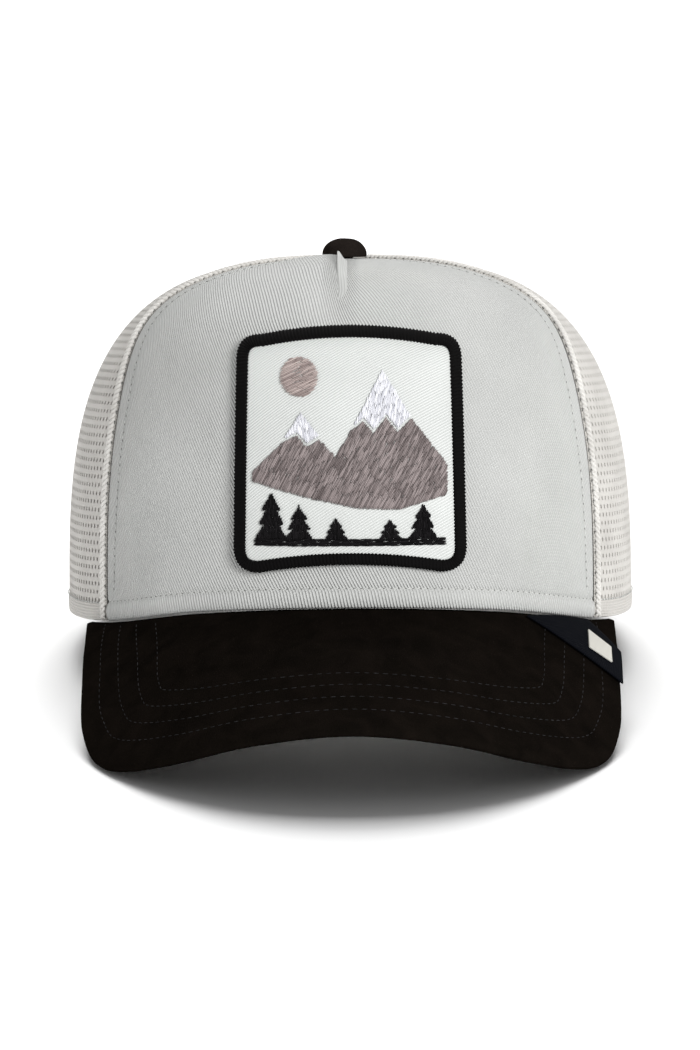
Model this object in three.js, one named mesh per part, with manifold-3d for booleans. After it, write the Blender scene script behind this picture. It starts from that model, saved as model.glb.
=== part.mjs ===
// A trucker hat at rest: padded twill front, mesh sides and back, curved suede brim.
// Millimetres, +Z up. The hat stands on the two front corners of its brim and on its back hem,
// with its front toward -Y. Crown pieces are made upright and then lean back in one group.
import * as THREE from "three";
import { mergeVertices } from "three/addons/utils/BufferGeometryUtils.js";
import Module from "manifold-3d";

const wasm = await Module();
wasm.setup();

const deg = THREE.MathUtils.degToRad;

// Crown, before it leans back: the rim centre is the origin.
const HALF_WIDTH = 88;
const HALF_LENGTH = 101;
const TOP_Y = -6;
const TOP_Z = 108;
const LEAN = deg(10.8);
const REST_Y = 82;
const LIFT = REST_Y * Math.sin(LEAN);
const TOP_SHARE = 0.962;

// The brim's front and the back hem lie equally far from the origin.
const CENTRE_Y = 31.8;

// Rim height and fullness of the upright profile, by the turn from the front centre.
// The first and last rows mirror their neighbours, so that the line runs level there.
const RIM = [
  { turn: -30, height: 5.5, fullness: 3.2 },
  { turn: 0, height: 7.5, fullness: 3.1 },
  { turn: 30, height: 5.5, fullness: 3.2 },
  { turn: 60, height: -0.5, fullness: 3.25 },
  { turn: 90, height: -1, fullness: 3.07 },
  { turn: 130, height: 0, fullness: 2.6 },
  { turn: 180, height: 0, fullness: 2.4 },
  { turn: 230, height: 0, fullness: 2.6 },
];

// Panels.
const FRONT_SEAM = 57;
const SEAM_BOW = 7.5;
const SEAM_BOW_AT = 0.56;
const SEAM_BOW_SPREAD = 0.13;
const SIDE_SEAM = 118;
const TWILL_WALL = 2;
const MESH_WALL = 1.2;
const GAP = 0.3;
const FOLD_WIDTH = 2.7;
const FOLD_RISE = 0.8;
const FOLD_STEP = 0.3;
const FOLD_END = 0.84;
const FOLD_FADE = 0.06;
const CENTRE_CROWDING = 0.55;
const HEM_HEIGHT = 5.6;
const HEM_ROLL = 0.6;
const MESH_HEM_ROLL = 0.35;

// The dart at the top of the front panel: a seam with its fold lying to the right.
const DART = { side: -3.6, top: 102, end: 98, width: 3, rise: 1 };
const VALLEY = { depth: 0.9, spread: 7, end: 82, top: 102 };

// Top button.
const BUTTON = { side: -1.2, radius: 6.9, rise: 6.2, stem: 2.6, depth: 4, seat: 0.4, lip: 1.2 };

// Sweatband inside the rim.
const BAND = { reach: 142, height: 28, wall: 1.1, foot: 0.8 };

// Brim: the lower face of its outer edge, from the front centre to the end at the rim.
// The first row mirrors the third.
const BRIM_REACH = 63;
const BRIM_WALL = 3;
const BRIM_BOW = 2.5;
const BRIM_INSET = 1.2;
const BRIM_EDGE = [
  { share: -0.18, side: -27.6, forward: 160.5, height: 18.4 },
  { share: 0, side: 0, forward: 165, height: 22.6 },
  { share: 0.18, side: 27.6, forward: 160.5, height: 18.4 },
  { share: 0.36, side: 50.5, forward: 147, height: 8.8 },
  { share: 0.5, side: 65.8, forward: 131, height: 1.6 },
  { share: 0.62, side: 73.8, forward: 117.5, height: 0 },
  { share: 0.74, side: 77.8, forward: 102, height: 4.6 },
  { share: 0.86, side: 78.6, forward: 78, height: 13.6 },
  { share: 1, side: 78.9, forward: 48.5, height: 20.6 },
  { share: 1.14, side: 78.6, forward: 20, height: 26 },
];

// Ribbon label across the brim near its right end, as shares of the brim.
const LABEL = { rimFrom: 0.57, rimTo: 0.845, edgeFrom: 0.85, edgeTo: 0.915, wall: 0.7 };
const LABEL_SPAN = { from: 0.06, to: 0.99 };
const LABEL_PLATE = { from: 0.34, to: 0.66, near: 0.3, far: 0.62, wall: 0.5 };

// Patch on the front panel, in the plane seen from the front.
const PATCH = { low: 17.5, high: 86.2, topWidth: 65.6, lowWidth: 67.4, corner: 7.5, bow: 5 };
const PATCH_GAP = 0.5;
const PATCH_ROWS = { from: 0.045, to: 0.54 };
const PATCH_MARGIN = 3;
const PATCH_BORDER = 3.7;
const PATCH_FIELD_WALL = 0.9;
const PATCH_BORDER_WALL = 1.9;
const PATCH_MOTIF_WALL = 0.6;

// Pines of the stitched landscape, from the right; each tier's widths are shares of the pine's.
const GROUND = { low: 25.6, high: 27.6 };
const PINE_TIP = 1.2;
const PINES = [
  { side: 21, top: 36.6, width: 4.2 },
  { side: 11.5, top: 32.4, width: 3.4 },
  { side: -4, top: 33, width: 3.4 },
  { side: -14.5, top: 36.4, width: 4 },
  { side: -22.5, top: 40, width: 4.6 },
];
const TIERS = [
  { wide: 1, narrow: 0.5 },
  { wide: 0.8, narrow: 0.35 },
  { wide: 0.6, narrow: 0.12 },
];

// Opening at the back with its bound edge and the two plastic straps.
const ARCH = { half: 40, height: 52, binding: 7, rise: 0.6, wall: 2.4 };
const STRAP = { low: 1.2, high: 15.2, wall: 1.3, tab: 52, tongue: 18, layer: 2.1, step: 1.7 };
const STRAP_STEP = { from: 24, to: 36 };
const STRAP_TIP = { share: 0.11, width: 0.55 };
const SNAP = { pitch: 7, count: 7, first: -14, peg: 1.7, hole: 2.1, head: 2.4 };
const SNAP_HEAD = { from: 0.3, to: 1.3 };
const THROUGH = 2;

const COLOURS = {
  twill: new THREE.MeshStandardMaterial({ color: 0xcccdcb, roughness: 0.9 }),
  mesh: new THREE.MeshStandardMaterial({ color: 0xbdbab5, roughness: 0.85 }),
  suede: new THREE.MeshStandardMaterial({ color: 0x131010, roughness: 1 }),
  lining: new THREE.MeshStandardMaterial({ color: 0xc6c5c1, roughness: 0.95 }),
  ribbon: new THREE.MeshStandardMaterial({ color: 0x14151c, roughness: 0.8 }),
  plate: new THREE.MeshStandardMaterial({ color: 0xd8d8d6, roughness: 0.8 }),
  border: new THREE.MeshStandardMaterial({ color: 0x161516, roughness: 0.85 }),
  field: new THREE.MeshStandardMaterial({ color: 0xd4d6d5, roughness: 0.9 }),
  taupe: new THREE.MeshStandardMaterial({ color: 0x827979, roughness: 0.7 }),
  rose: new THREE.MeshStandardMaterial({ color: 0x9c8f8c, roughness: 0.7 }),
  white: new THREE.MeshStandardMaterial({ color: 0xe4e5ea, roughness: 0.6 }),
  binding: new THREE.MeshStandardMaterial({ color: 0xc2c0bb, roughness: 0.9 }),
  plastic: new THREE.MeshStandardMaterial({ color: 0x18181a, roughness: 0.45 }),
};

// A smooth line through a table's rows, read at a place of the table's first column.
function readTable(rows, key, column, at) {
  const inner = rows.length - 3;
  let i = 1;
  while (i < inner && at > rows[i + 1][key]) {
    i++;
  }
  const slope = (n) => {
    const rise = rows[n + 1][column] - rows[n - 1][column];
    return rise / (rows[n + 1][key] - rows[n - 1][key]);
  };
  const span = rows[i + 1][key] - rows[i][key];
  const t = (at - rows[i][key]) / span;
  const start = (1 + 2 * t) * (1 - t) ** 2 * rows[i][column];
  const end = t * t * (3 - 2 * t) * rows[i + 1][column];
  const leave = t * (1 - t) ** 2 * span * slope(i);
  const arrive = t * t * (t - 1) * span * slope(i + 1);
  return start + end + leave + arrive;
}

function rimRow(turn, column) {
  return readTable(RIM, "turn", column, THREE.MathUtils.radToDeg(Math.abs(turn)));
}

// Height, in the upright crown, of the surface that the leaning hat rests on.
function restHeight(y) {
  return (y * Math.sin(LEAN) - LIFT) / Math.cos(LEAN);
}

function rimPoint(turn) {
  const y = -HALF_LENGTH * Math.cos(turn);
  const z = Math.max(rimRow(turn, "height"), restHeight(y));
  return new THREE.Vector3(HALF_WIDTH * Math.sin(turn), y, z);
}

// Shares of the way in (1 at the rim, 0 at the top) and up (0 to 1) along the profile.
function profile(turn, share) {
  const full = rimRow(turn, "fullness");
  const along = Math.max(Math.cos((share * Math.PI) / 2), 1e-9);
  const up = Math.sin((share * Math.PI) / 2);
  const reach = (along ** full + up ** full) ** (-1 / full);
  return { inward: reach * along, up: reach * up };
}

function crownPoint(turn, share) {
  const rim = rimPoint(turn);
  const { inward, up } = profile(turn, share);
  const y = TOP_Y + (rim.y - TOP_Y) * inward;
  return new THREE.Vector3(rim.x * inward, y, rim.z + (TOP_Z - rim.z) * up);
}

function crownNormal(turn, share) {
  const step = 1e-3;
  const low = Math.max(share - step, 0);
  const across = crownPoint(turn + step, share).sub(crownPoint(turn - step, share));
  const upward = crownPoint(turn, share + step).sub(crownPoint(turn, low));
  return across.cross(upward).normalize();
}

// A point of the crown wall, out millimetres from its outer skin; its foot keeps the rim's height.
function wallPoint(turn, share, out) {
  const point = crownPoint(turn, share).addScaledVector(crownNormal(turn, share), out);
  if (share === 0) {
    point.z = Math.max(rimRow(turn, "height"), restHeight(point.y));
  }
  return point;
}

// The share of the profile that reaches a height above the rim line.
function shareAt(turn, height) {
  const full = rimRow(turn, "fullness");
  const up = Math.min(Math.max(height / (TOP_Z - rimPoint(turn).z), 0), 1);
  const inward = (1 - up ** full) ** (1 / full);
  return (Math.atan2(up, inward) * 2) / Math.PI;
}

// A width in millimetres as a turn, at a share of the profile.
function asTurn(width, turn, share) {
  return width / (HALF_WIDTH * profile(turn, share).inward);
}

// A closed sheet: a box of cells with each corner moved to place(across, up, through).
function sheetGeometry(cells, place) {
  const box = new THREE.BoxGeometry(1, 1, 1, cells.across, cells.up, cells.through ?? 1);
  const corners = box.attributes.position;
  for (let i = 0; i < corners.count; i++) {
    const at = place(corners.getX(i) + 0.5, corners.getY(i) + 0.5, corners.getZ(i) + 0.5);
    corners.setXYZ(i, at.x, at.y, at.z);
  }
  box.computeVertexNormals();
  return box;
}

function solidOf(geometry) {
  const plain = geometry.clone();
  plain.deleteAttribute("normal");
  plain.deleteAttribute("uv");
  const merged = mergeVertices(plain, 1e-4);
  const triVerts = new Uint32Array(merged.index.array);
  const vertProperties = new Float32Array(merged.attributes.position.array);
  return new wasm.Manifold(new wasm.Mesh({ numProp: 3, vertProperties, triVerts }));
}

function geometryOf(solid) {
  const made = solid.getMesh();
  const geometry = new THREE.BufferGeometry();
  geometry.setAttribute("position", new THREE.BufferAttribute(made.vertProperties, 3));
  geometry.setIndex(new THREE.BufferAttribute(made.triVerts, 1));
  geometry.computeVertexNormals();
  return geometry;
}

function piece(name, geometry, material) {
  const mesh = new THREE.Mesh(geometry, material);
  mesh.name = name;
  return mesh;
}

// Height of a soft hump at a distance from its middle, as a share of its full height.
function hump(distance, width) {
  return Math.exp(-((distance / width) ** 2));
}

// Folds flatten out just before they pass under the button.
function underButton(share) {
  return 1 - THREE.MathUtils.smoothstep(share, FOLD_END, FOLD_END + FOLD_FADE);
}

// The hem is a soft roll, fullest at half its height.
function hemRoll(height, rise) {
  return height < HEM_HEIGHT ? rise * Math.sin((Math.PI * height) / HEM_HEIGHT) : 0;
}

// The dart's fold stands up beside its seam and ends in a point; a valley runs on below it.
function dartRelief(point) {
  const beside = point.x - DART.side;
  const width = DART.width * THREE.MathUtils.smoothstep(point.z, DART.end, DART.top);
  const fold = beside > 0 && beside < width ? DART.rise : 0;
  const fade = THREE.MathUtils.smoothstep(point.z, VALLEY.end, VALLEY.top);
  const valley = VALLEY.depth * hump(beside, VALLEY.spread) * fade;
  return { outer: fold - valley, inner: -valley };
}

// Row heights: the hem first, then even shares of the profile up to the button.
function rowShare(turn, row, rows) {
  const hem = shareAt(turn, HEM_HEIGHT);
  if (row <= 2) {
    return (hem * row) / 2;
  }
  return hem + ((TOP_SHARE - hem) * (row - 2)) / (rows - 2);
}

// The front seam bows back above the middle of its climb.
function seamTurn(share) {
  return deg(FRONT_SEAM + SEAM_BOW * Math.exp(-(((share - SEAM_BOW_AT) / SEAM_BOW_SPREAD) ** 2)));
}

function frontPanel() {
  const cells = { across: 30, up: 16 };
  const place = (across, up, through) => {
    const side = 2 * across - 1;
    const crowded = CENTRE_CROWDING * side * Math.abs(side);
    const spread = (1 - CENTRE_CROWDING) * side + crowded;
    const share = rowShare(deg(FRONT_SEAM) * spread, Math.round(up * cells.up), cells.up);
    const seam = seamTurn(share);
    const edge = seam - asTurn(GAP / 2, seam, share);
    const turn = edge * spread;
    const skin = crownPoint(turn, share);
    const relief = dartRelief(skin);
    const height = skin.z - rimPoint(turn).z;
    const outer = relief.outer * underButton(share) + hemRoll(height, HEM_ROLL);
    const inner = relief.inner * underButton(share) - TWILL_WALL;
    const out = through > 0.5 ? outer : inner;
    return wallPoint(turn, share, out);
  };
  return piece("front_panel", sheetGeometry(cells, place), COLOURS.twill);
}

// A side panel of mesh, whose front edge is folded back on itself along the seam.
function sideMesh(name, mirror) {
  const cells = { across: 10, up: 16 };
  const place = (across, up, through) => {
    const column = Math.round((mirror > 0 ? across : 1 - across) * cells.across);
    const share = rowShare(deg(FRONT_SEAM), Math.round(up * cells.up), cells.up);
    const seam = seamTurn(share);
    const start = seam + asTurn(GAP / 2, seam, share);
    const end = deg(SIDE_SEAM) - asTurn(GAP / 2, deg(SIDE_SEAM), share);
    const fold = asTurn(FOLD_WIDTH, seam, share);
    const step = asTurn(FOLD_WIDTH + FOLD_STEP, seam, share);
    const rest = (end - start - step) * ((column - 2) / (cells.across - 2));
    const turn = start + [0, fold, step + rest][Math.min(column, 2)];
    const raised = column < 2 ? FOLD_RISE * underButton(share) : 0;
    const height = crownPoint(turn, share).z - rimPoint(turn).z;
    const out = through > 0.5 ? raised + hemRoll(height, MESH_HEM_ROLL) : -MESH_WALL;
    return wallPoint(mirror * turn, share, out);
  };
  return piece(name, sheetGeometry(cells, place), COLOURS.mesh);
}

// A point of the back wall at a distance from the centre line and a height above the rim.
function backPoint(side, height, out) {
  const turn = Math.PI - Math.asin(side / HALF_WIDTH);
  return wallPoint(turn, height < 1e-6 ? 0 : shareAt(turn, height), out);
}

// A back panel of mesh, cut away below by its half of the arched opening.
function backMesh(name, mirror) {
  const cells = { across: 14, up: 9 };
  const plain = 4;
  const half = ARCH.half + ARCH.binding + 2 * GAP;
  const tall = ARCH.height + ARCH.binding + 2 * GAP;
  const corner = Math.PI - Math.asin(half / HALF_WIDTH);
  const place = (across, up, through) => {
    const column = Math.round((mirror > 0 ? across : 1 - across) * cells.across);
    const row = up * cells.up;
    const arch = (Math.max(column - plain, 0) / (cells.across - plain)) * (Math.PI / 2);
    const side = half * Math.cos(arch);
    const inArch = Math.PI - Math.asin(side / HALF_WIDTH);
    const near = deg(SIDE_SEAM);
    const flat = near + (corner - near) * (column / plain);
    const turn = column > plain ? inArch : flat;
    const low = column > plain ? shareAt(turn, tall * Math.sin(arch)) : 0;
    const share = low + (TOP_SHARE - low) * (row / cells.up);
    const first = asTurn(GAP / 2, near, share) * (column === 0 ? 1 : 0);
    const last = asTurn(GAP / 2, Math.PI, share) * (column === cells.across ? 1 : 0);
    return wallPoint(mirror * (turn + first - last), share, through > 0.5 ? 0 : -MESH_WALL);
  };
  return piece(name, sheetGeometry(cells, place), COLOURS.mesh);
}

// Tape sewn round the arched edge of the opening, a little proud of the mesh.
function archBinding() {
  const cells = { across: 20, up: 1 };
  const place = (across, up, through) => {
    const turn = Math.PI * across;
    const grow = ARCH.binding * up;
    const side = (ARCH.half + grow) * Math.cos(turn);
    const height = (ARCH.height + grow) * Math.sin(turn);
    return backPoint(side, height, through > 0.5 ? ARCH.rise : ARCH.rise - ARCH.wall);
  };
  return piece("arch_binding", sheetGeometry(cells, place), COLOURS.binding);
}

function sweatband() {
  const cells = { across: 40, up: 1 };
  const place = (across, up, through) => {
    const turn = deg(BAND.reach) * (2 * across - 1);
    const height = BAND.foot + (BAND.height - BAND.foot) * up;
    const out = -TWILL_WALL - GAP - BAND.wall * (1 - through);
    return wallPoint(turn, shareAt(turn, height), out);
  };
  return piece("sweatband", sheetGeometry(cells, place), COLOURS.lining);
}

function topButton() {
  const { radius, rise, stem, depth, seat, lip } = BUTTON;
  const outline = [new THREE.Vector2(0, -depth)];
  outline.push(new THREE.Vector2(stem, -depth));
  outline.push(new THREE.Vector2(stem, seat));
  outline.push(new THREE.Vector2(radius - lip, seat));
  const steps = 5;
  for (let i = 0; i <= steps; i++) {
    const turn = (i / steps) * (Math.PI / 2);
    const side = i === steps ? 0 : radius * Math.cos(turn);
    outline.push(new THREE.Vector2(side, lip + (rise - lip) * Math.sin(turn)));
  }
  const dome = new THREE.LatheGeometry(outline, 18);
  const button = piece("top_button", dome, COLOURS.suede);
  button.rotation.x = Math.PI / 2;
  button.position.set(BUTTON.side, TOP_Y, TOP_Z);
  return button;
}

function leaned(point) {
  const up = new THREE.Vector3(1, 0, 0);
  return point.applyAxisAngle(up, -LEAN).add(new THREE.Vector3(0, 0, LIFT));
}

// Lower face of the brim: side runs -1 to 1 between its ends, outward 0 at the rim to 1.
function brimPoint(side, outward) {
  const share = Math.abs(side);
  const turn = deg(BRIM_REACH) * side;
  const rim = leaned(wallPoint(turn, 0, -BRIM_INSET));
  rim.z -= BRIM_WALL + GAP;
  const reach = readTable(BRIM_EDGE, "share", "side", share);
  const forward = readTable(BRIM_EDGE, "share", "forward", share);
  const height = Math.max(readTable(BRIM_EDGE, "share", "height", share), 0);
  const edge = new THREE.Vector3(Math.sign(side) * reach, -forward, height);
  const point = rim.lerp(edge, outward);
  point.z += BRIM_BOW * 4 * outward * (1 - outward) * (1 - share ** 3);
  return point;
}

function brimNormal(side, outward) {
  const step = 1e-3;
  const along = brimPoint(Math.min(side + step, 1), outward);
  along.sub(brimPoint(Math.max(side - step, -1), outward));
  const back = brimPoint(side, Math.max(outward - step, 0));
  back.sub(brimPoint(side, Math.min(outward + step, 1)));
  return along.cross(back).normalize();
}

function onBrim(side, outward, rise) {
  const point = brimPoint(side, outward).addScaledVector(brimNormal(side, outward), rise);
  point.z = Math.max(point.z, 0);
  return point;
}

function brim() {
  const cells = { across: 34, up: 5 };
  const place = (across, up, through) => onBrim(2 * across - 1, 1 - up, BRIM_WALL * through);
  return piece("brim", sheetGeometry(cells, place), COLOURS.suede);
}

// Across the ribbon and along it, from the rim to the brim's edge.
function onLabel(across, along, rise) {
  const near = LABEL.rimFrom + (LABEL.rimTo - LABEL.rimFrom) * across;
  const far = LABEL.edgeFrom + (LABEL.edgeTo - LABEL.edgeFrom) * across;
  const side = near + (far - near) * along;
  const outward = LABEL_SPAN.from + (LABEL_SPAN.to - LABEL_SPAN.from) * along;
  return onBrim(side, outward, BRIM_WALL + GAP + rise);
}

function brimLabel() {
  const cells = { across: 4, up: 8 };
  const place = (across, up, through) => onLabel(across, 1 - up, LABEL.wall * through);
  return piece("brim_label", sheetGeometry(cells, place), COLOURS.ribbon);
}

function labelPlate() {
  const cells = { across: 3, up: 3 };
  const { from, to, near, far, wall } = LABEL_PLATE;
  const place = (across, up, through) => {
    const along = far + (near - far) * up;
    return onLabel(from + (to - from) * across, along, LABEL.wall + GAP + wall * through);
  };
  return piece("brim_label_plate", sheetGeometry(cells, place), COLOURS.plate);
}

// A point of the front panel at a side and a height, seen from the front.
function frontPoint(side, height, out) {
  let turn = 0;
  for (let i = 0; i < 12; i++) {
    const { inward } = profile(turn, shareAt(turn, height - rimPoint(turn).z));
    turn = Math.asin(THREE.MathUtils.clamp(side / (HALF_WIDTH * inward), -1, 1));
  }
  return wallPoint(turn, shareAt(turn, height - rimPoint(turn).z), out);
}

// A layer over the whole patch, between two distances from the panel.
function patchLayer(from, to) {
  const half = PATCH.lowWidth / 2 + PATCH_MARGIN;
  const cells = { across: 8, up: 8 };
  const place = (across, up, through) => {
    const row = PATCH_ROWS.from + (PATCH_ROWS.to - PATCH_ROWS.from) * up;
    const height = crownPoint(0, row).z;
    return frontPoint(half * (2 * across - 1), height, from + (to - from) * through);
  };
  return solidOf(sheetGeometry(cells, place));
}

// The patch's outline seen from the front, drawn in by a margin; its top and foot bow upward.
function patchOutline(margin) {
  const { low, high, corner, bow } = PATCH;
  const top = PATCH.topWidth / 2 - margin;
  const foot = PATCH.lowWidth / 2 - margin;
  const round = corner - margin;
  const roof = high - margin;
  const floor = low + margin;
  const shape = new THREE.Shape();
  shape.moveTo(-foot + round, floor);
  shape.quadraticCurveTo(0, floor + bow, foot - round, floor);
  shape.quadraticCurveTo(foot, floor, foot, floor + round);
  shape.lineTo(top, roof - round);
  shape.quadraticCurveTo(top, roof, top - round, roof);
  shape.quadraticCurveTo(0, roof + bow, -top + round, roof);
  shape.quadraticCurveTo(-top, roof, -top, roof - round);
  shape.lineTo(-foot, floor + round);
  shape.quadraticCurveTo(-foot, floor, -foot + round, floor);
  return shape;
}

// A shape seen from the front, cut out of a layer over the panel.
function cutFromLayer(shape, layer, curveSegments = 4) {
  const depth = 90;
  const nearest = -55;
  const prism = new THREE.ExtrudeGeometry(shape, { depth, bevelEnabled: false, curveSegments });
  prism.rotateX(Math.PI / 2);
  prism.translate(0, nearest, 0);
  return geometryOf(layer.intersect(solidOf(prism)));
}

function patchPieces() {
  const parts = [];
  const borderLayer = patchLayer(PATCH_GAP, PATCH_GAP + PATCH_BORDER_WALL);
  const ring = patchOutline(0);
  ring.holes.push(patchOutline(PATCH_BORDER));
  parts.push(piece("patch_border", cutFromLayer(ring, borderLayer), COLOURS.border));
  const fieldLayer = patchLayer(PATCH_GAP, PATCH_GAP + PATCH_FIELD_WALL);
  const field = patchOutline(PATCH_BORDER + GAP);
  parts.push(piece("patch_field", cutFromLayer(field, fieldLayer), COLOURS.field));
  const from = PATCH_GAP + PATCH_FIELD_WALL + GAP;
  const motifLayer = patchLayer(from, from + PATCH_MOTIF_WALL);
  for (const motif of MOTIFS) {
    const shape = new THREE.Shape();
    if (motif.radius) {
      shape.absarc(motif.side, motif.height, motif.radius, 0, 2 * Math.PI, false);
    } else {
      shape.setFromPoints(motif.corners.map(([x, z]) => new THREE.Vector2(x, z)));
    }
    const cut = cutFromLayer(shape, motifLayer, 12);
    parts.push(piece(motif.name, cut, COLOURS[motif.colour]));
  }
  return parts;
}

// Stitched landscape: corners as side and height, seen from the front.
const MOTIFS = [
  { name: "patch_sun", colour: "rose", side: -14.5, height: 74, radius: 5.6 },
  {
    name: "patch_mountain",
    colour: "taupe",
    corners: [
      [-28, 44],
      [-12, 39.5],
      [2, 36.5],
      [14, 36],
      [28, 40],
      [28, 49],
      [17.8, 62.2],
      [13.8, 58.2],
      [10.6, 62.4],
      [7, 58.2],
      [4, 61.4],
      [0.6, 59],
      [-4, 51.5],
      [-8.6, 56.4],
      [-12.2, 54.2],
      [-15, 57.4],
      [-19, 55.6],
      [-28, 47],
    ],
  },
  {
    name: "patch_snow_high",
    colour: "white",
    corners: [
      [9.6, 76],
      [1, 60],
      [4, 62.4],
      [7, 59.2],
      [10.6, 63.4],
      [13.8, 59.2],
      [17.4, 63],
    ],
  },
  {
    name: "patch_snow_low",
    colour: "white",
    corners: [
      [-14, 64],
      [-18.8, 56.6],
      [-15, 58.4],
      [-12.2, 55.2],
      [-8.8, 57.4],
    ],
  },
  { name: "patch_pines", colour: "border", corners: pineRow() },
];

// A row of pines on a strip of ground: each one has three tiers of branches.
function pineRow() {
  const corners = [
    [-27.5, GROUND.high],
    [-27.5, GROUND.low],
    [27.5, GROUND.low],
    [27.5, GROUND.high],
  ];
  for (const pine of PINES) {
    const rise = (pine.top - GROUND.high) / TIERS.length;
    const left = [];
    TIERS.forEach((tier, n) => {
      const foot = GROUND.high + rise * n;
      corners.push([pine.side + pine.width * tier.wide, foot]);
      corners.push([pine.side + pine.width * tier.narrow, foot + rise]);
      left.unshift([pine.side - pine.width * tier.wide, foot]);
      left.unshift([pine.side - pine.width * tier.narrow, foot + rise]);
    });
    corners.push([pine.side, pine.top + PINE_TIP], ...left);
  }
  return corners;
}

// Distance of a strap from the wall's outer skin: both start inside the hem, and the one with
// the holes steps outward over the other.
function strapOut(side, outerStrap) {
  const stepped = 1 - THREE.MathUtils.smoothstep(side, STRAP_STEP.from, STRAP_STEP.to);
  return -STRAP.layer + (outerStrap ? STRAP.step * stepped : 0);
}

// One strap, from its sewn tab to its tongue; mirror is the side of the hat that it starts on.
function strapSolid(mirror, outerStrap) {
  const cells = { across: 16, up: 2 };
  const place = (across, up, through) => {
    const along = mirror > 0 ? 1 - across : across;
    const side = -STRAP.tongue + (STRAP.tab + STRAP.tongue) * along;
    const middle = (STRAP.low + STRAP.high) / 2;
    const round = Math.sin(Math.min(1, along / STRAP_TIP.share) * (Math.PI / 2));
    const tip = STRAP_TIP.width + (1 - STRAP_TIP.width) * round;
    const height = middle + (STRAP.high - STRAP.low) * (up - 0.5) * tip;
    const out = strapOut(side, outerStrap) - STRAP.wall * (1 - through);
    return backPoint(mirror * side, height, out);
  };
  return solidOf(sheetGeometry(cells, place));
}

// A round bar square to the back wall, between two distances from its outer skin.
function snapBar(side, radius, from, to) {
  const middle = (STRAP.low + STRAP.high) / 2;
  const start = backPoint(side, middle, from);
  const end = backPoint(side, middle, to);
  const bar = new THREE.CylinderGeometry(radius, radius, start.distanceTo(end), 7);
  const turn = new THREE.Quaternion();
  const along = end.clone().sub(start).normalize();
  turn.setFromUnitVectors(new THREE.Vector3(0, 1, 0), along);
  bar.applyQuaternion(turn);
  bar.translate(...start.add(end).multiplyScalar(0.5).toArray());
  return solidOf(bar);
}

function straps() {
  const face = -STRAP.layer;
  const outerFace = face + STRAP.step;
  let pegs = strapSolid(1, false);
  let holes = strapSolid(-1, true);
  for (let i = 0; i < SNAP.count; i++) {
    const side = SNAP.first + i * SNAP.pitch;
    const root = face - STRAP.wall / 2;
    pegs = pegs.add(snapBar(side, SNAP.peg, root, outerFace + SNAP_HEAD.to));
    const head = snapBar(side, SNAP.head, outerFace + SNAP_HEAD.from, outerFace + SNAP_HEAD.to);
    pegs = pegs.add(head);
    holes = holes.subtract(snapBar(-side, SNAP.hole, face - THROUGH, outerFace + THROUGH));
  }
  return [
    piece("strap_with_pegs", geometryOf(pegs), COLOURS.plastic),
    piece("strap_with_holes", geometryOf(holes), COLOURS.plastic),
  ];
}

function buildCrown() {
  const crown = new THREE.Group();
  crown.rotation.x = -LEAN;
  crown.position.z = LIFT;
  crown.add(frontPanel());
  crown.add(sideMesh("mesh_side_left", -1), sideMesh("mesh_side_right", 1));
  crown.add(backMesh("mesh_back_left", -1), backMesh("mesh_back_right", 1));
  crown.add(archBinding(), sweatband(), topButton());
  crown.add(...straps());
  crown.add(...patchPieces());
  return crown;
}

const hat = new THREE.Group();
hat.position.y = CENTRE_Y;
hat.add(buildCrown(), brim(), brimLabel(), labelPlate());

export default hat;
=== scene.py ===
import math
import random
from functools import lru_cache

import bmesh
import bpy
from mathutils import Matrix, Quaternion, Vector, kdtree, noise


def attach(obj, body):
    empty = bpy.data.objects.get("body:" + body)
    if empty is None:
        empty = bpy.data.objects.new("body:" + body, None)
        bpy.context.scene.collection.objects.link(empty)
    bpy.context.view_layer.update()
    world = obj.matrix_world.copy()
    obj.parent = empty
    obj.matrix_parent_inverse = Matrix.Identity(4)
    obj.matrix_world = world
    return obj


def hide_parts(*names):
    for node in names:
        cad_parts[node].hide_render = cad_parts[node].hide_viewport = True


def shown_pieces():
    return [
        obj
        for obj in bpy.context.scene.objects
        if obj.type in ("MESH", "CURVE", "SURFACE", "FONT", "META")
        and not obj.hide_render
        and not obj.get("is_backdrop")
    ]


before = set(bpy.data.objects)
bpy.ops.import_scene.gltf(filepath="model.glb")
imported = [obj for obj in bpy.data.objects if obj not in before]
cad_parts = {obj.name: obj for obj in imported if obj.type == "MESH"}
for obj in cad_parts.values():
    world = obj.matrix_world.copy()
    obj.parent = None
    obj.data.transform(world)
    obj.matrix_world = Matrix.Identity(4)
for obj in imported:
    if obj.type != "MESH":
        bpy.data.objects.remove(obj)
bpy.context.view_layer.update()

MM = 0.001

# Crown, upright: the rim centre is the origin. It then leans back, as it rests.
HALF_WIDTH, HALF_LENGTH = 88, 101
TOP_Y, TOP_Z = -6, 108
LEAN = math.radians(10.8)
REST_Y = 82
LIFT = REST_Y * math.sin(LEAN)
CENTRE_Y = 31.8
TOP_SHARE = 0.962

# Rim: turn from the front centre, height, fullness of the upright profile.
RIM = (
    (-30, 5.5, 3.2),
    (0, 7.5, 3.1),
    (30, 5.5, 3.2),
    (60, -0.5, 3.25),
    (90, -1, 3.07),
    (130, 0, 2.6),
    (180, 0, 2.4),
    (230, 0, 2.6),
)
FRONT_SEAM, SIDE_SEAM = math.radians(57), math.radians(118)
SEAM_BOW, SEAM_BOW_AT, SEAM_BOW_SPREAD = math.radians(7.5), 0.56, 0.13
TWILL_WALL, MESH_WALL, GAP = 2, 1.2, 0.3
HEM, HEM_ROLL = 5.6, 0.6

DART_SIDE, DART_END, DART_WIDTH = -3.6, 97, 2.9
VALLEY_DEPTH, VALLEY_SPREAD = 0.9, 7

ARCH_HALF, ARCH_TALL, ARCH_TAPE = 40, 52, 7

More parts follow.
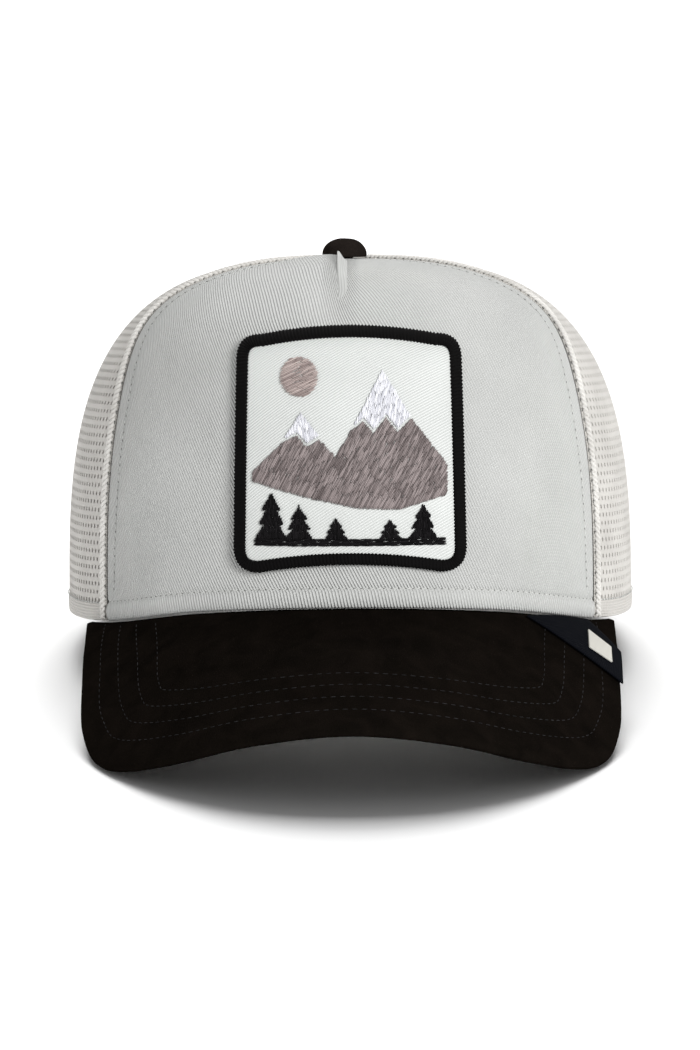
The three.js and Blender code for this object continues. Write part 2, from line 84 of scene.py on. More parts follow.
# Brim: share from the middle to the end, then the lower outer edge as side, forward, height.
BRIM_REACH = math.radians(63)
BRIM_WALL, BRIM_BOW, BRIM_INSET = 3, 2.5, 1.2
BRIM_EDGE = (
    (-0.18, -27.6, 160.5, 18.4),
    (0, 0, 165, 22.6),
    (0.18, 27.6, 160.5, 18.4),
    (0.36, 50.5, 147, 8.8),
    (0.5, 65.8, 131, 1.6),
    (0.62, 73.8, 117.5, 0),
    (0.74, 77.8, 102, 4.6),
    (0.86, 78.6, 78, 13.6),
    (1, 78.9, 48.5, 20.6),
    (1.14, 78.6, 20, 26),
)
BRIM_ROWS = (10, 16.3, 22.5, 28.7)

# Patch, seen from the front.
PATCH_LOW, PATCH_HIGH = 17.5, 86.2
PATCH_TOP, PATCH_FOOT = 32.8, 33.7
PATCH_CORNER, PATCH_BOW = 7.5, 5
PATCH_GAP, BORDER_WIDTH, BORDER_WALL, GROUND_WALL = 0.5, 3.7, 1.9, 0.9


# Surfaces, in millimetres


def blend(low, high, share):
    return low + (high - low) * share


def ease(at, low, high):
    """0 below low, 1 above high and a soft change between them."""
    share = min(max((at - low) / (high - low), 0), 1)
    return share * share * (3 - 2 * share)


def hump(distance, width):
    return math.exp(-((distance / width) ** 2))


def read_row(rows, column, at):
    """A smooth line through a table's rows, read at a place of its first column."""
    i = 1
    while i < len(rows) - 3 and at > rows[i + 1][0]:
        i += 1

    def slope(n):
        return (rows[n + 1][column] - rows[n - 1][column]) / (rows[n + 1][0] - rows[n - 1][0])

    span = rows[i + 1][0] - rows[i][0]
    t = (at - rows[i][0]) / span
    start = (1 + 2 * t) * (1 - t) ** 2 * rows[i][column]
    end = t * t * (3 - 2 * t) * rows[i + 1][column]
    leave = t * (1 - t) ** 2 * span * slope(i)
    arrive = t * t * (t - 1) * span * slope(i + 1)
    return start + end + leave + arrive


@lru_cache(maxsize=None)
def rim_point(turn):
    """The crown's foot at a turn from the front centre."""
    y = -HALF_LENGTH * math.cos(turn)
    ground = (y * math.sin(LEAN) - LIFT) / math.cos(LEAN)
    z = max(read_row(RIM, 1, math.degrees(abs(turn))), ground)
    return Vector((HALF_WIDTH * math.sin(turn), y, z))


def profile(turn, share):
    """How far in and how far up the crown is, at a share of the way from rim to top."""
    full = read_row(RIM, 2, math.degrees(abs(turn)))
    along = max(math.cos(share * math.pi / 2), 1e-9)
    up = max(math.sin(share * math.pi / 2), 0)
    reach = (along**full + up**full) ** (-1 / full)
    return reach * along, reach * up


def crown_point(turn, share):
    """A point of the crown's skin, at a share of the way from rim to top."""
    rim = rim_point(turn)
    inward, up = profile(turn, share)
    return Vector(
        (rim.x * inward, TOP_Y + (rim.y - TOP_Y) * inward, rim.z + (TOP_Z - rim.z) * up)
    )


def crown_normal(turn, share):
    """The way out of the crown's skin."""
    step = 1e-3
    low = max(share - step, 0)
    across = crown_point(turn + step, share) - crown_point(turn - step, share)
    upward = crown_point(turn, share + step) - crown_point(turn, low)
    return across.cross(upward).normalized()


def wall_point(turn, share, out):
    """A point out millimetres from the crown's skin; its foot keeps the rim's height."""
    point = crown_point(turn, share) + crown_normal(turn, share) * out
    if share == 0:
        point.z = rim_point(turn).z
    return point


def width_at(turn, share):
    """Millimetres round the crown for each radian of turn."""
    step = 0.01
    return (crown_point(turn + step, share) - crown_point(turn - step, share)).length / (2 * step)


def share_at(turn, height):
    """The share at which the crown is so many millimetres above its rim."""
    full = read_row(RIM, 2, math.degrees(abs(turn)))
    up = min(max(height / (TOP_Z - rim_point(turn).z), 0), 1)
    return math.atan2(up, (1 - up**full) ** (1 / full)) * 2 / math.pi


def as_turn(width, turn, share):
    """The turn that a width in millimetres takes up."""
    return width / (HALF_WIDTH * profile(turn, share)[0])


def seam_turn(share):
    """The front seam's turn, which bows back above the middle of its climb."""
    return FRONT_SEAM + SEAM_BOW * hump(share - SEAM_BOW_AT, SEAM_BOW_SPREAD)


def beside_seam(share, inset):
    """The turn that lies inset millimetres behind the front seam."""
    return seam_turn(share) + inset / width_at(seam_turn(share), share)


def back_turn(side):
    """The turn at which the rim's back half lies so far to a side."""
    return math.pi - math.asin(side / HALF_WIDTH)


def front_spot(side, height):
    """Turn and share of the front panel's point at a side and height, seen from the front."""
    turn = 0
    for _ in range(8):
        inward = profile(turn, share_at(turn, height - rim_point(turn).z))[0]
        turn = math.asin(min(max(side / (HALF_WIDTH * inward), -1), 1))
    return turn, share_at(turn, height - rim_point(turn).z)


def stand(point):
    """The upright crown's point as the hat stands, in metres."""
    lean_y = point.y * math.cos(LEAN) + point.z * math.sin(LEAN)
    lean_z = point.z * math.cos(LEAN) - point.y * math.sin(LEAN) + LIFT
    return Vector((point.x, lean_y + CENTRE_Y, max(lean_z, 0))) * MM


def stand_way(way):
    """A direction of the upright crown as the hat stands."""
    return Matrix.Rotation(-LEAN, 3, "X") @ way


def on_wall(turn, share, out):
    """A spot out millimetres from the crown's skin, as the hat stands."""
    return stand(wall_point(turn, share, out))


@lru_cache(maxsize=None)
def brim_ends(side):
    """Where the brim's lower face meets the rim, and its outer edge."""
    rim = stand(wall_point(BRIM_REACH * side, 0, -BRIM_INSET)) / MM
    rim -= Vector((0, CENTRE_Y, BRIM_WALL + GAP))
    reach, forward, height = (read_row(BRIM_EDGE, n, abs(side)) for n in (1, 2, 3))
    return rim, Vector((math.copysign(reach, side), -forward, max(height, 0)))


def brim_point(side, outward):
    """Lower face of the brim: side runs -1 to 1 between its ends, outward 0 at the rim to 1."""
    share = abs(side)
    rim, edge = brim_ends(side)
    point = rim.lerp(edge, outward)
    point.z += BRIM_BOW * 4 * outward * (1 - outward) * (1 - share**3)
    return point


def brim_normal(side, outward):
    """The way out of the upper face, which stays even where the brim's ends are sewn in."""
    step = 1e-3
    side = min(max(side, -0.93), 0.93)
    along = brim_point(min(side + step, 1), outward) - brim_point(max(side - step, -1), outward)
    back = brim_point(side, max(outward - step, 0)) - brim_point(side, min(outward + step, 1))
    return along.cross(back).normalized()


def on_brim(side, outward, rise):
    """A spot rise millimetres over the brim's lower face, as it stands."""
    point = brim_point(side, outward) + brim_normal(side, outward) * rise
    return Vector((point.x, point.y + CENTRE_Y, max(point.z, 0))) * MM


# Materials


def colour(code):
    """An sRGB hex value as linear light."""
    parts = (int(code[n : n + 2], 16) / 255 for n in (1, 3, 5))
    lit = [p / 12.92 if p <= 0.04045 else ((p + 0.055) / 1.055) ** 2.4 for p in parts]
    return (*lit, 1)


def add(tree, kind, inputs=None, **settings):
    """Adds a shader node: its inputs are values or the sockets that they are linked from."""
    node = tree.nodes.new("ShaderNode" + kind)
    for key, value in settings.items():
        setattr(node, key, value)
    for key, value in (inputs or {}).items():
        if isinstance(value, bpy.types.NodeSocket):
            tree.links.new(value, node.inputs[key])
        else:
            node.inputs[key].default_value = value
    return node


def new_finish(name, even, coords="Object"):
    """A material with its even values, and the coordinates that its patterns are laid by."""
    made = bpy.data.materials.new(name)
    made.use_nodes = True
    tree = made.node_tree
    tree.nodes.clear()
    shader = add(tree, "BsdfPrincipled", even)
    add(tree, "OutputMaterial", {"Surface": shader.outputs[0]})
    return made, tree, shader, add(tree, "TexCoord").outputs[coords]


def surface(tree, shader, relief, depth, pattern, span, dark, light):
    """Bump of a relief depth mm deep, and a tint from dark to light over a pattern's span."""
    bump = add(tree, "Bump", {"Height": relief, "Distance": depth * MM})
    tree.links.new(bump.outputs[0], shader.inputs["Normal"])
    # Where the pattern is the relief itself, its low places get the dark tint and its high places the
    # light one: painted shade in the hollows.
    lit = add(tree, "MapRange", {0: pattern, 1: span[0], 2: span[1]}).outputs[0]
    ends = {0: lit, 6: colour(dark), 7: colour(light)}
    tint = add(tree, "Mix", ends, data_type="RGBA").outputs[2]
    tree.links.new(tint, shader.inputs["Base Color"])
    return tint


# A wave texture of scale 1 repeats every pi / 10. Patterns on a UV map are in mm, and those on
# Object coordinates in m.
BAND = math.pi / 10
YARN_PITCH = 0.75


def woven_twill(name, lit_ridge, shaded_valley, angle, pitch, depth):
    """Twill weave: raised diagonal wales of yarn with valleys between them, matte; the valleys are
    tinted darker than the wales: painted shade in the hollows of the weave.
    """
    even = {"Roughness": 0.92, "Sheen Weight": 0.08, "Specular IOR Level": 0.25}
    made, tree, shader, place = new_finish(name, even, "UV")
    turn = (0, 0, -math.pi / 2 - math.radians(angle))
    turned = add(tree, "Mapping", {"Vector": place, "Rotation": turn}).outputs[0]
    wale = {"Vector": turned, "Scale": BAND / pitch, "Distortion": 0.7, "Detail Scale": 0.4}
    wales = add(tree, "TexWave", wale, bands_direction="X").outputs["Fac"]
    yarn = {"Vector": turned, "Scale": BAND / YARN_PITCH, "Distortion": 1.5, "Detail Scale": 1}
    yarns = add(tree, "TexWave", yarn, bands_direction="Y").outputs["Fac"]
    fuzz = add(tree, "TexNoise", {"Vector": place, "Scale": 2.2, "Detail": 4}).outputs[0]
    crossed = {0: yarns, 1: 0.16, 2: wales}
    lines = add(tree, "Math", crossed, operation="MULTIPLY_ADD").outputs[0]
    fuzzed = {0: fuzz, 1: 0.16, 2: lines}
    height = add(tree, "Math", fuzzed, operation="MULTIPLY_ADD").outputs[0]
    tint = surface(tree, shader, height, depth, height, (0.1, 1.15), shaded_valley, lit_ridge)
    # Cloth is never dyed quite evenly: patches of some 25 mm differ by a few percent.
    cloud = add(tree, "TexNoise", {"Vector": place, "Scale": 0.04, "Detail": 2}).outputs[0]
    dyed = {0: cloud, 1: 0.3, 2: 0.7, 3: 0.95, 4: 1.03}
    shade = add(tree, "MapRange", dyed).outputs[0]
    shaded = {0: 1.0, 6: tint, 7: shade}
    tone = add(tree, "Mix", shaded, data_type="RGBA", blend_type="MULTIPLY").outputs[2]
    tree.links.new(tone, shader.inputs["Base Color"])
    return made


def knitted_yarn(name, light, dark):
    """Warp-knitted polyester: round strands of fine filament, chalky with a faint sheen."""
    even = {"Roughness": 0.75, "Sheen Weight": 0.1, "Specular IOR Level": 0.3}
    made, tree, shader, place = new_finish(name, even)
    # Filaments are drawn 0.25 mm thick, about five times too coarse, so that they show.
    strand = {"Vector": place, "Scale": 4000, "Detail": 3, "Distortion": 1.5}
    strands = add(tree, "TexNoise", strand).outputs[0]
    cloud = add(tree, "TexNoise", {"Vector": place, "Scale": 60, "Detail": 3}).outputs[0]
    clouded = {0: strands, 1: 0.5, 2: cloud}
    mixed = add(tree, "Math", clouded, operation="MULTIPLY_ADD").outputs[0]
    surface(tree, shader, strands, 0.12, mixed, (0.45, 1.05), dark, light)
    return made


def knitted_band(name, light, dark, across, up):
    """Doubled knit, where the net is folded under: close rows of small loops, chalky."""
    even = {"Roughness": 0.85, "Sheen Weight": 0.1, "Specular IOR Level": 0.25}
    made, tree, shader, place = new_finish(name, even, "UV")
    row = {"Vector": place, "Scale": BAND / up, "Distortion": 1.2, "Detail Scale": 2}
    rows = add(tree, "TexWave", row, bands_direction="Y").outputs["Fac"]
    loop = {"Vector": place, "Scale": BAND / across, "Distortion": 2, "Detail Scale": 2}
    loops = add(tree, "TexWave", loop, bands_direction="X").outputs["Fac"]
    fuzz = add(tree, "TexNoise", {"Vector": place, "Scale": 3, "Detail": 3}).outputs[0]
    looped = {0: loops, 1: 0.6, 2: rows}
    knit = add(tree, "Math", looped, operation="MULTIPLY_ADD").outputs[0]
    fuzzed = {0: fuzz, 1: 0.5, 2: knit}
    height = add(tree, "Math", fuzzed, operation="MULTIPLY_ADD").outputs[0]
    surface(tree, shader, height, 0.16, height, (0.3, 1.7), dark, light)
    return made


def black_suede(name, light, dark):
    """Suede: buffed leather, whose short nap swallows light and lies in uneven patches, tinted darker
    and lighter: partly the leather's uneven tone, partly painted sheen of the nap's lie.
    """
    made, tree, shader, place = new_finish(name, {"Roughness": 1.0, "Specular IOR Level": 0.0})
    # Nap fibres are drawn 0.4 mm long, and the brushed patches are some 8 mm wide.
    nap = add(tree, "TexNoise", {"Vector": place, "Scale": 2500, "Detail": 4}).outputs[0]
    brushed = {"Vector": place, "Scale": 120, "Detail": 3, "Distortion": 0.6}
    patch = add(tree, "TexNoise", brushed).outputs[0]
    napped = {0: nap, 1: 0.6, 2: patch}
    mixed = add(tree, "Math", napped, operation="MULTIPLY_ADD").outputs[0]
    surface(tree, shader, nap, 0.25, mixed, (0.5, 1.1), dark, light)
    return made


def spun_thread(name, light, dark, gloss, shine=0.4):
    """Embroidery and sewing thread: plied filament, each stitch tinted by its own random lie: painted
    sheen and shade, for how each stitch catches the light.
    """
    made, tree, shader, place = new_finish(name, {"Roughness": gloss, "Specular IOR Level": shine})
    # The ply is drawn 0.3 mm wide.
    plied = {"Vector": place, "Scale": 3300, "Detail": 2, "Distortion": 1}
    ply = add(tree, "TexNoise", plied).outputs[0]
    lie = add(tree, "Attribute", attribute_name="lie").outputs["Fac"]
    shaded = {0: ply, 1: 0.4, 2: lie}
    mixed = add(tree, "Math", shaded, operation="MULTIPLY_ADD").outputs[0]
    surface(tree, shader, ply, 0.06, mixed, (0.15, 1.25), dark, light)
    return made


def woven_ribbon(name, light, dark, rib, gloss, shine):
    """Ribbon or tape with close crosswise ribs, woven of smooth filament."""
    even = {"Roughness": gloss, "Specular IOR Level": shine}
    made, tree, shader, place = new_finish(name, even, "UV")
    band = {"Vector": place, "Scale": BAND / rib, "Distortion": 0.5, "Detail Scale": 1}
    ribs = add(tree, "TexWave", band, bands_direction="Y").outputs["Fac"]
    fuzz = add(tree, "TexNoise", {"Vector": place, "Scale": 2.5, "Detail": 3}).outputs[0]
    fuzzed = {0: fuzz, 1: 0.6, 2: ribs}
    height = add(tree, "Math", fuzzed, operation="MULTIPLY_ADD").outputs[0]
    surface(tree, shader, height, 0.08, height, (0.2, 1.3), dark, light)
    return made


def moulded_plastic(name, light, dark):
    """Polyethylene: injection-moulded snap strap, satin, with a fine spark-eroded grain."""
    made, tree, shader, place = new_finish(name, {"IOR": 1.51})
    grain = add(tree, "TexNoise", {"Vector": place, "Scale": 2500, "Detail": 3}).outputs[0]
    surface(tree, shader, grain, 0.05, grain, (0, 1), dark, light)
    worn = add(tree, "TexNoise", {"Vector": place, "Scale": 90, "Detail": 4}).outputs[0]
    rough = add(tree, "MapRange", {0: worn, 1: 0.3, 2: 0.7, 3: 0.38, 4: 0.55}).outputs[0]
    tree.links.new(rough, shader.inputs["Roughness"])
    return made


FRONT_TWILL = woven_twill("front_twill_cotton", "#d2d3d1", "#c2c3c0", 117, 0.86, 0.32)
# The dart's fold is the front's own cotton twill, tinted darker: painted shade, so that the raised,
# smooth fold is no brighter than the cloth round it.
FOLD_TWILL_SHADED = woven_twill("dart_fold_cotton_painted_shade", "#c4c5c3", "#b4b5b2", 92, 0.86, 0.12)
GROUND_TWILL = woven_twill("patch_twill_polyester", "#e4e6e4", "#c9ccc9", 32, 0.76, 0.11)
BAND_TWILL = woven_twill("sweatband_brushed_cotton", "#d0cfcb", "#bab9b5", 60, 0.9, 0.08)
NET_KNIT = knitted_yarn("net_knitted_polyester", "#d4d1cc", "#bfbcb7")
FOLD_KNIT = knitted_band("hem_folded_knit", "#d0cdc8", "#bebbb6", 1.3, 0.9)
LOOP_YARN = knitted_yarn("seam_looped_yarn", "#f0eeea", "#c9c6c1")
SUEDE = black_suede("brim_suede_leather", "#16120f", "#0c0a08")
# The button is covered in the brim's suede, tinted lighter: a painted sheen for the light on its
# dome.
BUTTON_SUEDE_SHEEN = black_suede("button_suede_painted_sheen", "#2a2522", "#1a1614")
EDGE_THREAD = spun_thread("patch_edge_overlocked_rayon", "#161415", "#070606", 0.75, 0.08)
ROSE_THREAD = spun_thread("rose_rayon_thread", "#c0b1ac", "#8a7b78", 0.45)
TAUPE_THREAD = spun_thread("taupe_rayon_thread", "#9d9190", "#5a504f", 0.45)
WHITE_THREAD = spun_thread("white_rayon_thread", "#f6f6fa", "#c6c7cf", 0.42)
BLACK_THREAD = spun_thread("black_rayon_thread", "#1a181a", "#070607", 0.65, 0.08)
PALE_SEWING = spun_thread("pale_spun_polyester", "#cfd0cd", "#b4b5b2", 0.8, 0.2)
DARK_SEWING = spun_thread("black_spun_polyester", "#2b2a2b", "#0f0e0f", 0.9, 0.1)
NEEDLE_SHADE = spun_thread("needle_hole_shade", "#82827f", "#5c5c5a", 1.0, 0.05)
RIBBON = woven_ribbon("brim_ribbon_polyester", "#0d0f15", "#07080c", 0.5, 0.85, 0.04)
PLATE = woven_ribbon("ribbon_plate_woven", "#d6d4cc", "#c2c0b8", 0.45, 0.8, 0.2)
TAPE = woven_ribbon("arch_tape_cotton", "#d3d1cc", "#b9b7b2", 0.8, 0.85, 0.2)
PLASTIC = moulded_plastic("strap_polyethylene", "#1c1c1f", "#131315")


# Making pieces


def lay_grid(shape, columns, rows, place, drawn=None):
    """Lays a grid of cells by place(across, up), with its weave's place in mm as its UV map.

    drawn(across, up) gives the weave's place where the cloth has been pulled out of true.
    """
    made = bmesh.ops.create_grid(shape, x_segments=columns, y_segments=rows, size=0.5)
    lines = [[None] * (columns + 1) for _ in range(rows + 1)]
    for vert in made["verts"]:
        column, row = round((vert.co.x + 0.5) * columns), round((vert.co.y + 0.5) * rows)
        vert.co = place(column / columns, row / rows)
        lines[row][column] = vert
    middle = columns // 2
    weave = {}
    up = 0
    for row, line in enumerate(lines):
        if row:
            up += (line[middle].co - lines[row - 1][middle].co).length / MM
        weave[line[middle]] = (0, up)
        for way in (1, -1):
            across = 0
            column = middle
            while 0 <= column + way <= columns:
                across += way * (line[column + way].co - line[column].co).length / MM
                column += way
                weave[line[column]] = (across, up)
    uv = shape.loops.layers.uv.verify()
    for face in {face for vert in weave for face in vert.link_faces}:
        for loop in face.loops:
            loop[uv].uv = drawn(*weave[loop.vert]) if drawn else weave[loop.vert]
    return made["verts"]


def finished(name, shape, finish, slot, stands_for=(), wall=0, bevel=0):
    """Turns a shape into a piece that rides on the hat."""
    mesh = bpy.data.meshes.new(name)
    shape.to_mesh(mesh)
    shape.free()
    mesh.materials.append(finish)
    for face in mesh.polygons:
        face.use_smooth = True
    made = bpy.data.objects.new(name, mesh)
    bpy.context.scene.collection.objects.link(made)
    if wall:
        thick = made.modifiers.new("wall", "SOLIDIFY")
        thick.thickness = wall * MM
        thick.offset = -1
    if bevel:
        round_edge = made.modifiers.new("round_edge", "BEVEL")
        round_edge.width = bevel * MM
        round_edge.segments = 4
        round_edge.limit_method = "ANGLE"
        round_edge.angle_limit = math.radians(50)
    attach(made, "root")
    if stands_for:
        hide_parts(*stands_for)
    return made


def laid(name, grid, place, finish, slot, stands_for=(), wall=0, bevel=0, drawn=None):
    """A piece of cloth laid over a grid of cells by place(across, up), then given its wall."""
    shape = bmesh.new()
    lay_grid(shape, *grid, place, drawn)
    return finished(name, shape, finish, slot, stands_for, wall, bevel)


def new_thread():
    """An empty shape for stitches, each of which has its own lie, 0 to 1, for its painted sheen and
    shade.
    """
    shape = bmesh.new()
    shape.verts.layers.float.new("lie")
    return shape


BEAD = bmesh.new()
bmesh.ops.create_uvsphere(BEAD, u_segments=6, v_segments=5, radius=0.5)
BEAD.verts.index_update()


def stitch(shape, start, end, out, wide, tall, lie):
    """One stitch: a slim bead of thread between two points."""
    along = end - start
    side = out.cross(along).normalized()
    rise = along.normalized().cross(side)
    turned = Matrix((side * wide * MM, rise * tall * MM, along)).transposed()
    middle = (start + end) / 2
    layer = shape.verts.layers.float["lie"]
    verts = [shape.verts.new(middle + turned @ vert.co) for vert in BEAD.verts]
    for vert in verts:
        vert[layer] = lie
    for face in BEAD.faces:
        shape.faces.new([verts[vert.index] for vert in face.verts])


def walk(path, pitch):
    """Spots at an even pitch in mm along a path of (place, outward) pairs."""
    spots = [path[0]]
    left = pitch * MM
    for (here, out_here), (there, out_there) in zip(path, path[1:]):
        span = (there - here).length
        gone = 0
        while span - gone >= left:
            gone += left
            share = gone / span
            spots.append((here.lerp(there, share), out_here.lerp(out_there, share).normalized()))
            left = pitch * MM
        left -= span - gone
    return spots


def sew(shape, path, pitch, cover=0.78, wide=0.42, tall=0.3, holes=None):
    """A row of stitches along a path, with a dark bead at each needle hole between them: painted
    shade of the holes.
    """
    spots = walk(path, pitch)
    for (here, out), (there, _) in zip(spots, spots[1:]):
        # A random lie for the stitch's painted sheen and shade.
        lie = luck.uniform(0.3, 1)
        start, end = (here.lerp(there, (1 + side * cover) / 2) for side in (-1, 1))
        stitch(shape, start, end, out, wide, tall, lie)
        if holes is not None:
            # Each needle hole gets a short dark bead: painted shade in the hole.
            reach = (there - here) * 0.14
            stitch(holes, here - reach, here + reach, out, wide * 0.9, tall * 0.8, lie)


def crown_line(steps, spot):
    """A path over the crown: spot(share of the way) gives its turn, share and rise."""
    path = []
    for n in range(steps + 1):
        turn, share, out = spot(n / steps)
        path.append((on_wall(turn, share, out), stand_way(crown_normal(turn, share))))
    return path


luck = random.Random(7)


# Front of padded twill

# Seams and folds end under the button, at this share of the way up.
SEAM_END = 0.956
DART_FOLD_END = 0.93

# The front's grid has its closest rows in the hem's zone.
FRONT_COLUMNS, FRONT_ROWS, HEM_ROWS, HEM_ZONE = 150, 112, 14, 7.4
CENTRE_CROWDING = 0.3

# Relief of the front: its edges are turned in, and its stitches lie in dips.
HEM_TUCK, HEM_DIP, SEAM_TUCK, TOPSTITCH_DIP = 0.5, 0.4, 0.55, 0.18
DART_LIFT, FOLD_LIFT, FOLD_CREST, DART_DIP = 1.7, 1.1, 0.3, 0.2
UNEVEN, UNEVEN_SPAN = 0.16, 30
TOPSTITCH_TOP, TOPSTITCH_NEAR, TOPSTITCH_SWING = 0.9, 3.8, 2.2

# The dart turns the wales between these two heights, by these shares of the climb.
DRAWN_FROM, DRAWN_FULL = 72, 96
DRAWN_LEFT, DRAWN_RIGHT, HEM_SLANT = 0.7, 0.2, 0.6


def topstitch_inset(share):
    """How far the topstitching runs from the seam: nearest at the hem."""
    climbed = min(share / TOPSTITCH_TOP, 1)
    return TOPSTITCH_NEAR + TOPSTITCH_SWING * math.sin(math.pi * climbed**0.7)


def clear_of_button(skin):
    """0 where the button presses the cloth flat, 1 from 17 mm away."""
    return ease(math.hypot(skin.x, skin.y - TOP_Y), 8, 17)


def front_relief(skin, turn, share, height):
    """What stands proud of the front's even skin or dips below it."""
    edge = (seam_turn(share) - abs(turn)) * width_at(turn, share)
    out = HEM_ROLL * math.sin(math.pi * min(height / HEM, 1))
    out -= HEM_TUCK * (1 - ease(height, -0.2, 0.9))
    out -= HEM_DIP * hump(height - HEM, 0.55)
    out -= SEAM_TUCK * (1 - ease(edge, -0.2, 1.1))
    out -= TOPSTITCH_DIP * hump(edge - topstitch_inset(share), 0.6) * ease(height, HEM, HEM + 2)
    # The dart pulls the cloth in below its end, and up on its left side.
    draw = ease(skin.z, 84, 96) * (1 - ease(skin.z, 98, 105))
    out -= VALLEY_DEPTH * hump(skin.x - DART_SIDE, VALLEY_SPREAD) * draw
    lifted = ease(skin.x, -24, DART_SIDE) * (1 - ease(skin.x, DART_SIDE, DART_SIDE + 2.4))
    out += DART_LIFT * lifted * ease(skin.z, 101, 106.5) * clear_of_button(skin)
    out -= DART_DIP * hump(skin.x - DART_SIDE + 0.3, 1.1) * ease(skin.z, 86, 99)
    # Padding is a little uneven.
    return out + UNEVEN * noise.noise(skin / UNEVEN_SPAN)


def front_weave(across, up):
    """Place of the front's weave: the dart turns its wales upright, more so on its left."""
    span = DRAWN_FULL - DRAWN_FROM
    past = min(max((up - DRAWN_FROM) / span, 0), 1)
    taken = span * (past**3 - past**4 / 2) + max(up - DRAWN_FULL, 0)
    left = DRAWN_LEFT * (1 - ease(-across, 8, 95))
    right = DRAWN_RIGHT * (1 - ease(across, 30, 90))
    share = blend(left, right, ease(across, DART_SIDE - 5, DART_SIDE + 7))
    return across, up - share * taken + HEM_SLANT * max(HEM - up, 0)


def front_place(across, up):
    """The front's cloth, from seam to seam and from the hem to under the button."""
    side = 2 * across - 1
    side *= 1 + CENTRE_CROWDING * (1 - side * side)
    row = up * FRONT_ROWS
    guess = FRONT_SEAM * side
    if row < HEM_ROWS:
        share = share_at(guess, HEM_ZONE * row / HEM_ROWS)
    else:
        hem = share_at(guess, HEM_ZONE)
        share = hem + (TOP_SHARE - hem) * (row - HEM_ROWS) / (FRONT_ROWS - HEM_ROWS)
    turn = beside_seam(share, -GAP / 4) * side
    skin = crown_point(turn, share)
    height = skin.z - rim_point(turn).z
    spot = on_wall(turn, share, front_relief(skin, turn, share, height))
    # The hem's foot closes on the brim.
    spot.z -= (GAP - 0.04) * MM * (1 - ease(height, 0, 1.5))
    return spot


front = laid(
    "front_cloth", (FRONT_COLUMNS, FRONT_ROWS), front_place, FRONT_TWILL, "twill",
    ["front_panel"], TWILL_WALL, drawn=front_weave,
)


def dart_place(across, up):
    """The dart's fold: cloth doubled over beside its seam, ending in a point."""
    share = blend(share_at(0, DART_END - rim_point(0).z), DART_FOLD_END, up)
    level = crown_point(0, share).z
    opened = ease(level, DART_END - 1, DART_END + 3.5) * (1 - 0.6 * ease(up, 0.7, 1))
    side = DART_SIDE + 0.2 + (0.2 + DART_WIDTH * opened) * across
    turn = math.asin(side / (HALF_WIDTH * profile(0, share)[0]))
    skin = crown_point(turn, share)
    height = skin.z - rim_point(turn).z
    crest = (4 * across * (1 - across)) ** 0.5 * ease(up, -0.05, 0.25)
    lie = clear_of_button(skin)
    rise = front_relief(skin, turn, share, height) - 0.05
    rise += FOLD_CREST * crest * (0.3 + 0.7 * lie)
    rise += FOLD_LIFT * ease(level, 103, 106.5) * (1 - ease(across, 0.3, 1.1)) * lie
    return on_wall(turn, share, rise)


laid("dart_fold", (16, 60), dart_place, FOLD_TWILL_SHADED, "twill", wall=0.8)


# Net sides and back

# Threads twisted along the front seam, behind which the net begins.
LOOP, LOOP_STEP, LOOP_RADIUS, LOOP_SWING, LOOP_MIDDLE = 1.55, 0.18, 0.56, 0.72, 1.45
NET_PITCH, NET_ROW, NET_STRAND, NET_WALL = 2.75, 2.5, 0.92, 0.7
NET_WIDE, NET_FOOT, NET_HEM, NET_EDGE = 116, 4, 3.5, 1.5


def hexagon_net(wide, tall):
    """A flat net of staggered six-sided holes, its foot's middle at the origin, in mm."""
    net = bmesh.new()
    columns, rows = 2 * round(wide / NET_PITCH), round(tall / NET_ROW)
    made = bmesh.ops.create_grid(net, x_segments=columns, y_segments=rows, size=0.5)
    place = {}
    for vert in made["verts"]:
        column, row = round((vert.co.x + 0.5) * columns), round((vert.co.y + 0.5) * rows)
        place[vert] = (column, row)
        lift = NET_ROW / 6 * (1 if (column + row) % 2 == 0 else -1)
        vert.co = ((column - columns / 2) * NET_PITCH / 2, row * NET_ROW + lift, 0)
    joined = []
    for edge in net.edges:
        (c1, r1), (c2, r2) = (place[v] for v in edge.verts)
        if c1 == c2 and (c1 + min(r1, r2)) % 2 == 1 and 0 < c1 < columns:
            joined.append(edge)
    bmesh.ops.dissolve_edges(net, edges=joined, use_verts=False)
    return net


def climb(turn_at):
    """Pairs of length up the crown from the rim, in mm, and share of the profile."""
    pairs = [(0, 0)]
    last = crown_point(turn_at(0), 0)
    steps = 200
    for n in range(1, steps + 1):
        share = 0.995 * n / steps
        point = crown_point(turn_at(share), share)
        pairs.append((pairs[-1][0] + (point - last).length, share))
        last = point
    return pairs


